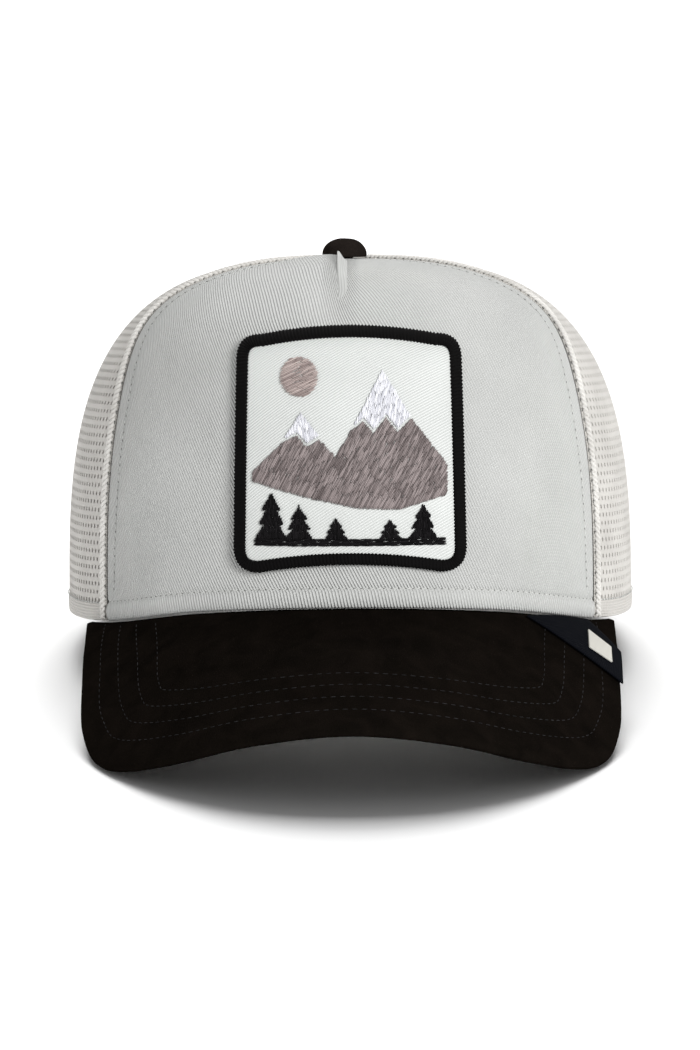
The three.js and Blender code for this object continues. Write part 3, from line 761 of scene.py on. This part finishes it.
def net_panel(name, middle, keeps, cad_node):
    """A net of even pitch laid over the crown round a middle turn, cut where keeps() ends."""
    pairs = climb(lambda share: middle)
    net = hexagon_net(NET_WIDE, pairs[-1][0])
    spread = {}

    def spot(point):
        n = 1
        while n < len(pairs) - 1 and pairs[n][0] < point.y:
            n += 1
        (low, share_low), (high, share_high) = pairs[n - 1], pairs[n]
        share = blend(share_low, share_high, min(max((point.y - low) / (high - low), 0), 1))
        key = round(point.y, 4)
        if key not in spread:
            spread[key] = width_at(middle, share)
        return middle + point.x / spread[key], share

    outside = []
    for face in net.faces:
        centre = face.calc_center_median()
        turn, share = spot(centre)
        if centre.y < NET_FOOT or share > TOP_SHARE + 0.01 or not keeps(turn, share):
            outside.append(face)
    bmesh.ops.delete(net, geom=outside, context="FACES")
    for vert in net.verts:
        turn, share = spot(vert.co)
        vert.co = on_wall(turn, max(share, 1e-4), -0.05)
    net.normal_update()
    holes = net.faces[:]
    bmesh.ops.inset_individual(
        net, faces=holes, thickness=NET_STRAND * MM, depth=-0.04 * MM, use_even_offset=False
    )
    bmesh.ops.delete(net, geom=holes, context="FACES_ONLY")
    made = finished(name, net, NET_KNIT, "mesh", [cad_node], NET_WALL)
    # The strands are flat, so their faces aren't shaded into their sides.
    for face in made.data.polygons:
        face.use_smooth = False
    return made


def side_keeps(turn, share):
    """Whether a side panel's net has a hole here."""
    wide = width_at(turn, share)
    past_front = (abs(turn) - seam_turn(share)) * wide > LOOP_MIDDLE
    return past_front and (SIDE_SEAM - abs(turn)) * wide > NET_EDGE


def back_keeps(turn, share):
    """Whether a back panel's net has a hole here, clear of the arch."""
    wide = width_at(turn, share)
    point = crown_point(turn, share)
    height = point.z - rim_point(turn).z
    half, tall = ARCH_HALF + NET_HEM, ARCH_TALL + NET_HEM
    outside_arch = (point.x / half) ** 2 + (height / tall) ** 2 > 1
    past_side = (abs(turn) - SIDE_SEAM) * wide > NET_EDGE
    return outside_arch and past_side and (math.pi - abs(turn)) * wide > NET_EDGE


SIDE_MIDDLE = (FRONT_SEAM + SIDE_SEAM) / 2
BACK_MIDDLE = (SIDE_SEAM + math.pi) / 2
SIDES = (("right", 1), ("left", -1))
nets = {}
for name, way in SIDES:
    side = net_panel("side_net_" + name, way * SIDE_MIDDLE, side_keeps, "mesh_side_" + name)
    back = net_panel("back_net_" + name, way * BACK_MIDDLE, back_keeps, "mesh_back_" + name)
    nets[name] = side, back


# Folded net, seams and hem

FOLD_WIDTH, TAPE_HALF, TAPE_EDGE = 3.3, 3.2, 2
TAPE_WALL, HEM_BAND_WALL, ARCH_WALL, BAND_WALL = 0.9, 1.5, 2.3, 1.0


def strip_over_crown(name, grid, place, finish, slot, wall):
    """A strip laid over the crown by place(across, up), which gives turn, share and rise."""

    def spot(across, up):
        return on_wall(*place(across, up))

    return laid(name, grid, spot, finish, slot, (), wall, 0.3)


def front_fold(way):
    """The net's front edge, folded back on itself beside the front seam."""

    def place(across, up):
        share = up * SEAM_END
        near = across if way > 0 else 1 - across
        turn = beside_seam(share, GAP / 4 + FOLD_WIDTH * near)
        return way * turn, share, 0.35 * (4 * across * (1 - across)) ** 0.5 - 0.1

    return place


def seam_steps(step, start):
    """Shares at even steps in mm up the front seam."""
    pairs = climb(seam_turn)
    shares = []
    length = start
    for (low, share_low), (high, share_high) in zip(pairs, pairs[1:]):
        while low <= length < high and share_high < SEAM_END:
            shares.append(blend(share_low, share_high, (length - low) / (high - low)))
            length += step
    return shares


def thread_along(shape, path, radius, sides=6):
    """A round strand along spots of the crown, given as turn, share and rise."""
    points = [on_wall(*spot) for spot in path]
    outs = [stand_way(crown_normal(turn, share)) for turn, share, _ in path]
    count = len(points)

    def place(across, up):
        n = round(across * (count - 1))
        ahead = points[min(n + 1, count - 1)] - points[max(n - 1, 0)]
        side = outs[n].cross(ahead).normalized()
        rise = ahead.normalized().cross(side)
        turn = 2 * math.pi * up
        return points[n] + (side * math.cos(turn) + rise * math.sin(turn)) * radius * MM

    verts = lay_grid(shape, count - 1, sides, place)
    bmesh.ops.remove_doubles(shape, verts=verts, dist=1e-6)


def seam_loops(name, way):
    """Two thick threads twisted along the fold beside the seam."""
    yarn = bmesh.new()
    for start in (0, math.pi):
        path = []
        for n, share in enumerate(seam_steps(LOOP_STEP, 0.4)):
            phase = math.pi * n * LOOP_STEP / LOOP + start
            turn = beside_seam(share, LOOP_MIDDLE + LOOP_SWING * math.cos(phase))
            path.append((way * turn, share, 0.5 + 0.3 * math.sin(phase)))
        thread_along(yarn, path, LOOP_RADIUS)
    return finished(name, yarn, LOOP_YARN, "mesh")


def fold_pricks(holes, way):
    """Needle pricks beside the twisted threads, in three columns, drawn as dark beads: painted shade
    of the holes.
    """
    for inset, step, start in ((0.2, 3.1, 0.6), (2.6, 2.1, 1.7), (3.15, 2.1, 0.9)):
        for share in seam_steps(step, start):
            turn, after = (way * beside_seam(share, inset + more) for more in (0, 0.3))
            here, there = on_wall(turn, share, 0.2), on_wall(after, share + 0.006, 0.2)
            out = stand_way(crown_normal(turn, share))
            stitch(holes, here, there, out, 0.36, 0.3, luck.random())


def seam_tape(middle, low):
    """Tape sewn over a seam, from a share low on the crown to under the button."""

    def place(across, up):
        share = blend(low, SEAM_END, up)
        turn = middle + (2 * across - 1) * TAPE_HALF / width_at(middle, share)
        flat = 1 - 0.8 * ease(share, 0.92, SEAM_END)
        return turn, share, 0.15 + 0.4 * flat * (4 * across * (1 - across)) ** 0.5

    return place


def hem_band(start, end):
    """The net's hem, folded under between two turns."""

    def place(across, up):
        turn = blend(start, end, across)
        bulge = 0.02 + 0.22 * math.sin(math.pi * up) - 0.25 * hump(up - 1, 0.1)
        return turn, share_at(turn, HEM * 1.04 * up), bulge

    return place


arch_side = back_turn(ARCH_HALF + ARCH_TAPE + GAP)
band_start = FRONT_SEAM + as_turn(GAP / 2 + 3, FRONT_SEAM, 0)
for name, way in SIDES:
    edge = front_fold(way)
    fold = strip_over_crown("seam_fold_" + name, (8, 120), edge, FOLD_KNIT, "mesh", MESH_WALL)
    loops = seam_loops("seam_loops_" + name, way)
    over_seam = seam_tape(way * SIDE_SEAM, share_at(SIDE_SEAM, HEM))
    tape = strip_over_crown("side_tape_" + name, (8, 100), over_seam, TAPE, "binding_tape", TAPE_WALL)
    hem = hem_band(*sorted((way * band_start, way * arch_side)))
    band = strip_over_crown("hem_band_" + name, (150, 8), hem, FOLD_KNIT, "mesh", HEM_BAND_WALL)
    side, back = nets[name]
arch_top = share_at(math.pi, ARCH_TALL + ARCH_TAPE + GAP)
over_seam = seam_tape(math.pi, arch_top)
strip_over_crown("back_tape", (8, 70), over_seam, TAPE, "binding_tape", TAPE_WALL)


def arch_place(across, up):
    """Tape folded round the arched edge, fullest in its middle."""
    turn = math.pi * across
    grow = ARCH_TAPE * up
    side = (ARCH_HALF + grow) * math.cos(turn)
    height = (ARCH_TALL + grow) * math.sin(turn)
    at = back_turn(side)
    share = 0 if height < 1e-6 else share_at(at, height)
    return on_wall(at, share, 0.1 + 0.5 * (4 * up * (1 - up)) ** 0.35)


laid("arch_tape", (160, 12), arch_place, TAPE, "binding_tape", ["arch_binding"], ARCH_WALL, 0.5)

BAND_REACH, BAND_FOOT, BAND_TALL = math.radians(142), 0.8, 27.2


def band_place(across, up):
    """The sweatband, which ends on both sides of the arch."""
    turn = BAND_REACH * (2 * across - 1)
    swell = 0.25 * math.sin(math.pi * up)
    return on_wall(turn, share_at(turn, BAND_FOOT + BAND_TALL * up), -TWILL_WALL - GAP - swell)


inner_band = laid(
    "inner_band", (220, 16), band_place, BAND_TWILL, "sweatband", ["sweatband"], BAND_WALL, 0.4
)


# Button

BUTTON_SIDE, BUTTON_RADIUS, BUTTON_RISE = -1.2, 6.9, 6.2


def button_shape():
    """A suede-covered dome, spun from its outline, its edge tucked under."""
    dome = bmesh.new()
    outline = [(0, -4), (2.6, -4), (2.6, 0.4), (5.6, 0.4)]
    outline += [(6.5 + 0.4 * math.sin(a), 1.1 - 0.7 * math.cos(a)) for a in (0, 0.6, 1.2)]
    for n in range(13):
        a = math.pi / 2 * n / 12
        side = 0 if n == 12 else BUTTON_RADIUS * math.cos(a) ** 0.85
        outline.append((side, 1.3 + (BUTTON_RISE - 1.3) * math.sin(a)))
    verts = [dome.verts.new((side, 0, up)) for side, up in outline]
    edges = [dome.edges.new(pair) for pair in zip(verts, verts[1:])]
    bmesh.ops.spin(
        dome, geom=verts + edges, cent=(0, 0, 0), axis=(0, 0, 1), dvec=(0, 0, 0),
        angle=2 * math.pi, steps=56, use_merge=True,
    )
    bmesh.ops.remove_doubles(dome, verts=dome.verts, dist=1e-4)
    bmesh.ops.recalc_face_normals(dome, faces=dome.faces)
    for vert in dome.verts:
        lumpy = vert.co * (1 + 0.02 * noise.noise(vert.co / 3))
        vert.co = stand(lumpy + Vector((BUTTON_SIDE, TOP_Y, TOP_Z)))
    return dome


finished("crown_button", button_shape(), BUTTON_SUEDE_SHEEN, "suede", ["top_button"])


# Brim


FACE_ROWS, NOSE_ROWS, UNDER_ROWS = 46, 8, 24
SECTION_ROWS = FACE_ROWS + NOSE_ROWS + UNDER_ROWS + 1


def brim_section(across, around):
    """Round the brim's section: upper face outward, round edge, under face back, sewn edge."""
    side = 2 * across - 1
    rim, edge = brim_ends(side)
    nose = BRIM_WALL / 2 / max((edge - rim).length, 4)
    row = around * SECTION_ROWS
    if row <= FACE_ROWS:
        return on_brim(side, (1 - nose) * row / FACE_ROWS, BRIM_WALL)
    if row < FACE_ROWS + NOSE_ROWS:
        turn = math.pi * (row - FACE_ROWS) / NOSE_ROWS
        return on_brim(side, 1 - nose * (1 - math.sin(turn)), BRIM_WALL / 2 * (1 + math.cos(turn)))
    if row < SECTION_ROWS - 0.5:
        back = (row - FACE_ROWS - NOSE_ROWS) / UNDER_ROWS
        return on_brim(side, (1 - nose) * (1 - back), 0)
    return on_brim(side, 0, BRIM_WALL)


shape = bmesh.new()
lay_grid(shape, 180, SECTION_ROWS, lambda across, up: brim_section(across, 1 - up))
bmesh.ops.remove_doubles(shape, verts=shape.verts, dist=1e-6)
bmesh.ops.holes_fill(shape, edges=[edge for edge in shape.edges if edge.is_boundary], sides=0)
bmesh.ops.recalc_face_normals(shape, faces=shape.faces)
finished("brim_suede", shape, SUEDE, "suede", ["brim"])


def brim_spot(plan):
    """Side and outward of the brim's point at a place seen from above."""
    low, high = 0.3, 1
    for _ in range(22):
        side = (low + high) / 2
        rim, edge = brim_ends(side)
        reach, gone = (edge - rim).to_2d(), (plan - rim).to_2d()
        if reach.cross(gone) > 0:
            low = side
        else:
            high = side
    return side, reach.dot(gone) / reach.length_squared


def cloth_on_brim(columns, rows, corners, rise):
    """A straight-edged piece laid on the brim between corners given as side and outward."""
    near, far, far_out, near_out = (brim_point(*corner) for corner in corners)

    def place(across, up):
        plan = near.lerp(far, across).lerp(near_out.lerp(far_out, across), up)
        return on_brim(*brim_spot(plan), BRIM_WALL + rise)

    cloth = bmesh.new()
    lay_grid(cloth, columns, rows, place)
    bmesh.ops.recalc_face_normals(cloth, faces=cloth.faces)
    return cloth


RIBBON_CORNERS = ((0.554, 0.04), (0.832, 0.05), (0.9, 0.965), (0.826, 0.985))
PLATE_CORNERS = ((0.744, 0.35), (0.79, 0.2), (0.854, 0.63), (0.818, 0.7))

LABEL_WALL = 0.5

shape = cloth_on_brim(24, 60, RIBBON_CORNERS, GAP + 0.3)
ribbon = finished("brim_ribbon", shape, RIBBON, "label_ribbon", ["brim_label"], LABEL_WALL)
shape = cloth_on_brim(20, 20, PLATE_CORNERS, GAP + 0.9)
plate = finished(
    "ribbon_plate", shape, PLATE, "label_plate", ["brim_label_plate"], LABEL_WALL, 0.15
)


SIDE_CLOSING = 2.8


def brim_rows():
    """Four rows of stitches, each at an even distance from the brim's outer edge."""
    edge_spots = [n / 500 for n in range(-500, 501)]
    edge = kdtree.KDTree(len(edge_spots))
    for n, side in enumerate(edge_spots):
        edge.insert(on_brim(side, 1, BRIM_WALL), n)
    edge.balance()

    def inset(side, outward):
        return edge.find(on_brim(side, outward, BRIM_WALL))[2] / MM

    rows = []
    for row in BRIM_ROWS:
        path = []
        for n in range(-190, 191):
            side = n / 200
            # The rows close up to the edge along the brim's sides.
            distance = row - SIDE_CLOSING * ease(abs(side), 0.45, 0.75)
            if inset(side, 0.03) < distance:
                continue
            near, far = 0.03, 1
            for _ in range(12):
                middle = (near + far) / 2
                if inset(side, middle) > distance:
                    near = middle
                else:
                    far = middle
            path.append((on_brim(side, near, BRIM_WALL + 0.06), brim_normal(side, near)))
        rows.append(path)
    return rows


shape = new_thread()
for path in brim_rows():
    sew(shape, path, 2.7, cover=0.62, wide=0.32, tall=0.2)
finished("brim_stitches", shape, DARK_SEWING, "suede")


# Patch


def patch_outline():
    """The patch's outline seen from the front, as close points; its top and foot bow up."""
    foot, top, round_by = PATCH_FOOT, PATCH_TOP, PATCH_CORNER
    low, high = PATCH_LOW, PATCH_HIGH
    legs = (
        ((-foot + round_by, low), (0, low + PATCH_BOW), (foot - round_by, low)),
        ((foot - round_by, low), (foot, low), (foot, low + round_by)),
        ((foot, low + round_by), None, (top, high - round_by)),
        ((top, high - round_by), (top, high), (top - round_by, high)),
        ((top - round_by, high), (0, high + PATCH_BOW), (-top + round_by, high)),
        ((-top + round_by, high), (-top, high), (-top, high - round_by)),
        ((-top, high - round_by), None, (-foot, low + round_by)),
        ((-foot, low + round_by), (-foot, low), (-foot + round_by, low)),
    )
    points = []
    for start, pull, end in legs:
        start, end = Vector((*start, 0)), Vector((*end, 0))
        pull = Vector((*pull, 0)) if pull else (start + end) / 2
        for n in range(40):
            t = n / 40
            points.append(start * (1 - t) ** 2 + pull * 2 * t * (1 - t) + end * t * t)
    return points


def on_patch(side, height, out):
    """A spot of the patch, seen from the front, and how far out of the crown it lies."""
    return on_wall(*front_spot(side, height), out)


# Steps of the rope for each of its ribs, which are a millimetre apart.
RIB = 6


def overlocked_edge():
    """Thread wrapped closely round the patch's edge: a flat ribbed rope."""
    rope = bmesh.new()
    outline = patch_outline()
    loop = [(point * MM, Vector((0, 0, 1))) for point in outline + outline[:1]]
    ring = [spot[0] / MM for spot in walk(loop, 1 / RIB)]
    count = len(ring) // RIB * RIB
    ring = ring[:count]
    centres = []
    for n in range(count):
        along = (ring[(n + 3) % count] - ring[n - 3]).normalized()
        inward = Vector((-along.y, along.x, 0))
        middle = ring[n] + inward * BORDER_WIDTH / 2
        turn, share = front_spot(middle.x, middle.y)
        here = on_wall(turn, share, 0)
        beside = on_patch(middle.x + inward.x, middle.y + inward.y, 0)
        centres.append((here, beside - here, stand_way(crown_normal(turn, share))))
        # A draw for each step, on which the lie of every later stitch rests.
        luck.random()

    def place(across, up):
        n = round(across * count) % count
        here, inward, out = centres[n]
        turn = -2 * math.pi * up
        slant = n / RIB + 0.35 * math.cos(turn)
        swell = 0.93 + 0.07 * math.cos(2 * math.pi * slant)
        wide = math.copysign(abs(math.cos(turn)) ** 0.7, math.cos(turn)) * BORDER_WIDTH / 2
        tall = math.copysign(abs(math.sin(turn)) ** 0.7, math.sin(turn)) * BORDER_WALL / 2
        lift = (PATCH_GAP + BORDER_WALL / 2) * MM
        return here + inward * wide * swell + out * (lift + tall * swell * swell * MM)

    verts = lay_grid(rope, count, 18, place)
    bmesh.ops.remove_doubles(rope, verts=verts, dist=1e-6)
    bmesh.ops.recalc_face_normals(rope, faces=rope.faces)
    return rope


finished("patch_edge", overlocked_edge(), EDGE_THREAD, "patch_border", ["patch_border"])


GROUND_INSET = 2.4


def ground_place(across, up):
    """The patch's ground, whose edges lie under the border."""
    side = 2 * across - 1
    half = blend(PATCH_FOOT, PATCH_TOP, up) - GROUND_INSET
    height = blend(PATCH_LOW + GROUND_INSET, PATCH_HIGH - GROUND_INSET, up)
    height += PATCH_BOW / 2 * (1 - side * side)
    return on_patch(side * half, height, PATCH_GAP + GROUND_WALL)


ground = laid(
    "patch_ground", (64, 70), ground_place, GROUND_TWILL, "patch_field", ["patch_field"], GROUND_WALL
)


# Stitched landscape, seen from the front: side and height of its corners in mm.
SUN, SUN_RADIUS, SUN_CORNERS = (-14.5, 74), 5.6, 28
# Side, top and half width of each pine, then the reach of its tiers at foot and tip.
PINES = ((21, 36.6, 4.2), (11.5, 32.4, 3.4), (-4, 33, 3.4), (-14.5, 36.4, 4), (-22.5, 40, 4.6))
TIERS = ((1, 0.5), (0.8, 0.35), (0.6, 0.12))
PINE_FOOT = 27.6
PINE_GROUND = ((-27.5, 27.8), (-27.5, 25.6), (27.5, 25.6), (27.5, 27.8))
MOUNTAIN = (
    (-28, 44), (-12, 39.5), (2, 36.5), (14, 36), (28, 40), (28, 49), (17.8, 62.2),
    (13.8, 58.2), (10.6, 62.4), (7, 58.2), (4, 61.4), (0.6, 59), (-4, 51.5),
    (-8.6, 56.4), (-12.2, 54.2), (-15, 57.4), (-19, 55.6), (-28, 47),
)
SNOW_HIGH = ((9.6, 76), (1, 60), (4, 62.4), (7, 59.2), (10.6, 63.4), (13.8, 59.2), (17.4, 63))
SNOW_LOW = ((-14, 64), (-18.8, 56.6), (-15, 58.4), (-12.2, 55.2), (-8.8, 57.4))


def crossings(corners, level):
    """Where a level line crosses an outline, from left to right."""
    found = []
    for (x1, y1), (x2, y2) in zip(corners, corners[1:] + corners[:1]):
        if (y1 <= level) != (y2 <= level):
            found.append(x1 + (level - y1) / (y2 - y1) * (x2 - x1))
    return sorted(found)


FILL_WIDE, FILL_TALL, FILL_PITCH, FILL_STRAY, FILL_OVERLAP = 0.6, 0.5, 0.42, 0.35, 0.6


def fill(shape, corners, angle, length=5, out=1.75):
    """Fills an outline with rows of long stitches, each a little off its neighbours."""
    turn = math.radians(angle)
    c, s = math.cos(turn), math.sin(turn)
    turned = [(x * c + z * s, z * c - x * s) for x, z in corners]
    level = min(z for _, z in turned) + FILL_PITCH / 2
    while level < max(z for _, z in turned):
        ends = crossings(turned, level)
        for low, high in zip(ends[::2], ends[1::2]):
            at = low - luck.uniform(0, FILL_STRAY)
            finish = high + luck.uniform(0, FILL_STRAY)
            # A stitch starts only where more than the last one's overlap is left.
            while at < finish - FILL_OVERLAP - 0.1:
                reach = min(at + length * luck.uniform(0.6, 1.25), finish)
                if finish - reach < 0.8:
                    reach = finish
                sway = luck.uniform(-0.12, 0.12)
                spots = [(at, level), (reach, level + sway)]
                rise = out + luck.uniform(-0.08, 0.1)
                start, end = (on_patch(x * c - z * s, z * c + x * s, rise) for x, z in spots)
                turn_at, share_here = front_spot(at * c - level * s, level * c + at * s)
                normal = stand_way(crown_normal(turn_at, share_here))
                stitch(shape, start, end, normal, FILL_WIDE, FILL_TALL, luck.random())
                at = reach - FILL_OVERLAP
        level += FILL_PITCH


def pine_outline(side, top, width):
    """Corners of a pine in tiers, which stands on the strip of ground."""
    rise = (top - PINE_FOOT) / len(TIERS)
    right, left = [], []
    for n, (wide, narrow) in enumerate(TIERS):
        low = PINE_FOOT + rise * n
        right += [(side + width * wide, low), (side + width * narrow, low + rise)]
        left = [(side - width * narrow, low + rise), (side - width * wide, low)] + left
    return tuple(right + [(side, top + 1.2)] + left)


def sun_corner(n):
    """One corner of the sun's round outline."""
    turn = math.tau * n / SUN_CORNERS
    return SUN[0] + SUN_RADIUS * math.cos(turn), SUN[1] + SUN_RADIUS * math.sin(turn)


# Name, outline, slope of the stitches in degrees, their length in mm, thread, slot and node.
sun = tuple(sun_corner(n) for n in range(SUN_CORNERS))
for name, corners, slope, length, thread, slot, node in (
    ("sun_threads", sun, 25, 6, ROSE_THREAD, "thread_rose", "patch_sun"),
    ("mountain_threads", MOUNTAIN, 62, 5, TAUPE_THREAD, "thread_taupe", "patch_mountain"),
    ("high_snow_threads", SNOW_HIGH, 78, 4, WHITE_THREAD, "thread_white", "patch_snow_high"),
    ("low_snow_threads", SNOW_LOW, 100, 4, WHITE_THREAD, "thread_white", "patch_snow_low"),
):
    shape = new_thread()
    fill(shape, corners, slope, length)
    finished(name, shape, thread, slot, [node])

shape = new_thread()
for pine in PINES:
    fill(shape, pine_outline(*pine), 90, length=2.6, out=1.85)
fill(shape, PINE_GROUND, 0, length=4)
finished("pine_threads", shape, BLACK_THREAD, "thread_black", ["patch_pines"])


# Sewing


# Length of a stitch from hole to hole in mm: hem, topstitching and tape.
HEM_STITCH, TOP_STITCH, TAPE_STITCH = 2.2, 2.5, 2.7
TAPE_LOW, TAPE_HIGH, TAPE_RISE, TAPE_THREAD = 0.06, 0.92, 0.5, 0.36


def on_front(turn, share, out):
    """A spot that lies out of the front's skin with its relief."""
    skin = crown_point(turn, share)
    return turn, share, front_relief(skin, turn, share, skin.z - rim_point(turn).z) + out


def hem_spot(at):
    """The front's hem stitching, from its left end to its right."""
    turn = blend(-FRONT_SEAM, FRONT_SEAM, at)
    return on_front(turn, share_at(turn, HEM), 0.1)


def topstitch_spot(at):
    """The topstitching beside the front seam, on the side that way names."""
    share = blend(0.055, TOPSTITCH_TOP, at)
    return on_front(way * beside_seam(share, -topstitch_inset(share)), share, 0.1)


def side_hem_spot(at):
    """The net's hem stitching, from the front seam to the arch."""
    turn = blend(FRONT_SEAM + as_turn(1, FRONT_SEAM, 0), arch_side, at)
    return way * turn, share_at(turn, HEM * 0.98), 0.28


def sew_tape(middle, low, steps):
    """Two rows of stitches along a seam's tape, one near each edge."""
    for edge in (-TAPE_EDGE, TAPE_EDGE):

        def spot(at):
            share = blend(low, TAPE_HIGH, at)
            return middle + edge / width_at(middle, share), share, TAPE_RISE

        sew(shape, crown_line(steps, spot), TAPE_STITCH, wide=TAPE_THREAD, holes=holes)


def arch_line(grow):
    """A path round the arch, so many mm outside its opening."""
    path = []
    for n in range(1, 160):
        turn = math.pi * n / 160
        at = back_turn((ARCH_HALF + grow) * math.cos(turn))
        share = share_at(at, (ARCH_TALL + grow) * math.sin(turn))
        path.append((on_wall(at, share, 0.6), stand_way(crown_normal(at, share))))
    return path


shape, holes = new_thread(), new_thread()
sew(shape, crown_line(200, hem_spot), HEM_STITCH, holes=holes)
for way in (1, -1):
    sew(shape, crown_line(160, topstitch_spot), TOP_STITCH, wide=0.34, holes=holes)
    sew(shape, crown_line(160, side_hem_spot), HEM_STITCH, holes=holes)
    fold_pricks(holes, way)
    sew_tape(way * SIDE_SEAM, TAPE_LOW, 120)
sew_tape(math.pi, arch_top, 100)
for grow in (1.6, 5.4):
    sew(shape, arch_line(grow), TAPE_STITCH, wide=TAPE_THREAD, holes=holes)
finished("crown_stitches", shape, PALE_SEWING, "twill")
# The needle holes' dark beads are painted shade.
finished("needle_hole_painted_shade", holes, NEEDLE_SHADE, "twill")


# Strap

for node in ("strap_with_pegs", "strap_with_holes"):
    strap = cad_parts[node]
    strap.data.materials.clear()
    strap.data.materials.append(PLASTIC)


# Setting


def plane(name, size, finish):
    """A level square of the setting."""
    shape = bmesh.new()
    bmesh.ops.create_grid(shape, x_segments=1, y_segments=1, size=size / 2)
    mesh = bpy.data.meshes.new(name)
    shape.to_mesh(mesh)
    shape.free()
    mesh.materials.append(finish)
    made = bpy.data.objects.new(name, mesh)
    bpy.context.scene.collection.objects.link(made)
    made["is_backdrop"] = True


paper = {"Roughness": 0.9, "Specular IOR Level": 0.2, "Base Color": colour("#fbfbfb")}
plane("floor", 12, new_finish("floor_matte_paper", paper)[0])


# The key and the fill light the hat alone, so that the floor keeps the photo's one soft shadow.
hat_only, floor_only = (bpy.data.collections.new(name) for name in ("hat_only", "floor_only"))
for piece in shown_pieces():
    hat_only.objects.link(piece)
floor_only.objects.link(bpy.data.objects["floor"])


def softbox(name, place, aim, wide, tall, power, lights=None):
    """A lit rectangle, in metres and watts, which lights one collection or everything."""
    lamp = bpy.data.lights.new(name, "AREA")
    lamp.shape = "RECTANGLE"
    lamp.size, lamp.size_y, lamp.energy = wide, tall, power
    made = bpy.data.objects.new(name, lamp)
    made.location = place
    made.rotation_euler = (Vector(aim) - Vector(place)).to_track_quat("-Z", "Y").to_euler()
    bpy.context.scene.collection.objects.link(made)
    made.light_linking.receiver_collection = lights


softbox("key_right", (1.14, -1.63, 0.93), (0, 0, 0.06), 0.8, 0.8, 40, hat_only)
softbox("fill_left", (-1.88, -0.33, 1.1), (0, 0, 0.06), 0.9, 0.9, 7, hat_only)
softbox("behind", (0, 1.25, 1.6), (0, 0, 0), 1.6, 1.1, 31)
softbox("overhead", (0, 0.35, 1.9), (0, 0, 0), 1.3, 1.0, 22, floor_only)

world = bpy.data.worlds.new("studio")
world.use_nodes = True
world.node_tree.nodes["Background"].inputs[0].default_value = (1, 1, 1, 1)
world.node_tree.nodes["Background"].inputs[1].default_value = 0.3
bpy.context.scene.world = world
bpy.context.scene.view_settings.view_transform = "Standard"

eye = bpy.data.cameras.new("photo_camera")
eye.sensor_width = 36
# The photo's focal length and its height, both in pixels.
FOCAL_LENGTH, PHOTO_TALL = 4800, 1050
eye.lens = FOCAL_LENGTH * eye.sensor_width / PHOTO_TALL
eye.clip_end = 50
camera = bpy.data.objects.new("photo_camera", eye)
ELEVATION = math.radians(15)
aim = Vector((0, CENTRE_Y * MM, 0.0405))
camera.location = aim + 1.5 * Vector((0, -math.cos(ELEVATION), math.sin(ELEVATION)))
looking = (aim - camera.location).to_track_quat("-Z", "Y")
# The photo's camera leans a third of a degree.
camera.rotation_euler = (looking @ Quaternion((0, 0, 1), math.radians(-0.35))).to_euler()
bpy.context.scene.collection.objects.link(camera)
bpy.context.scene.camera = camera
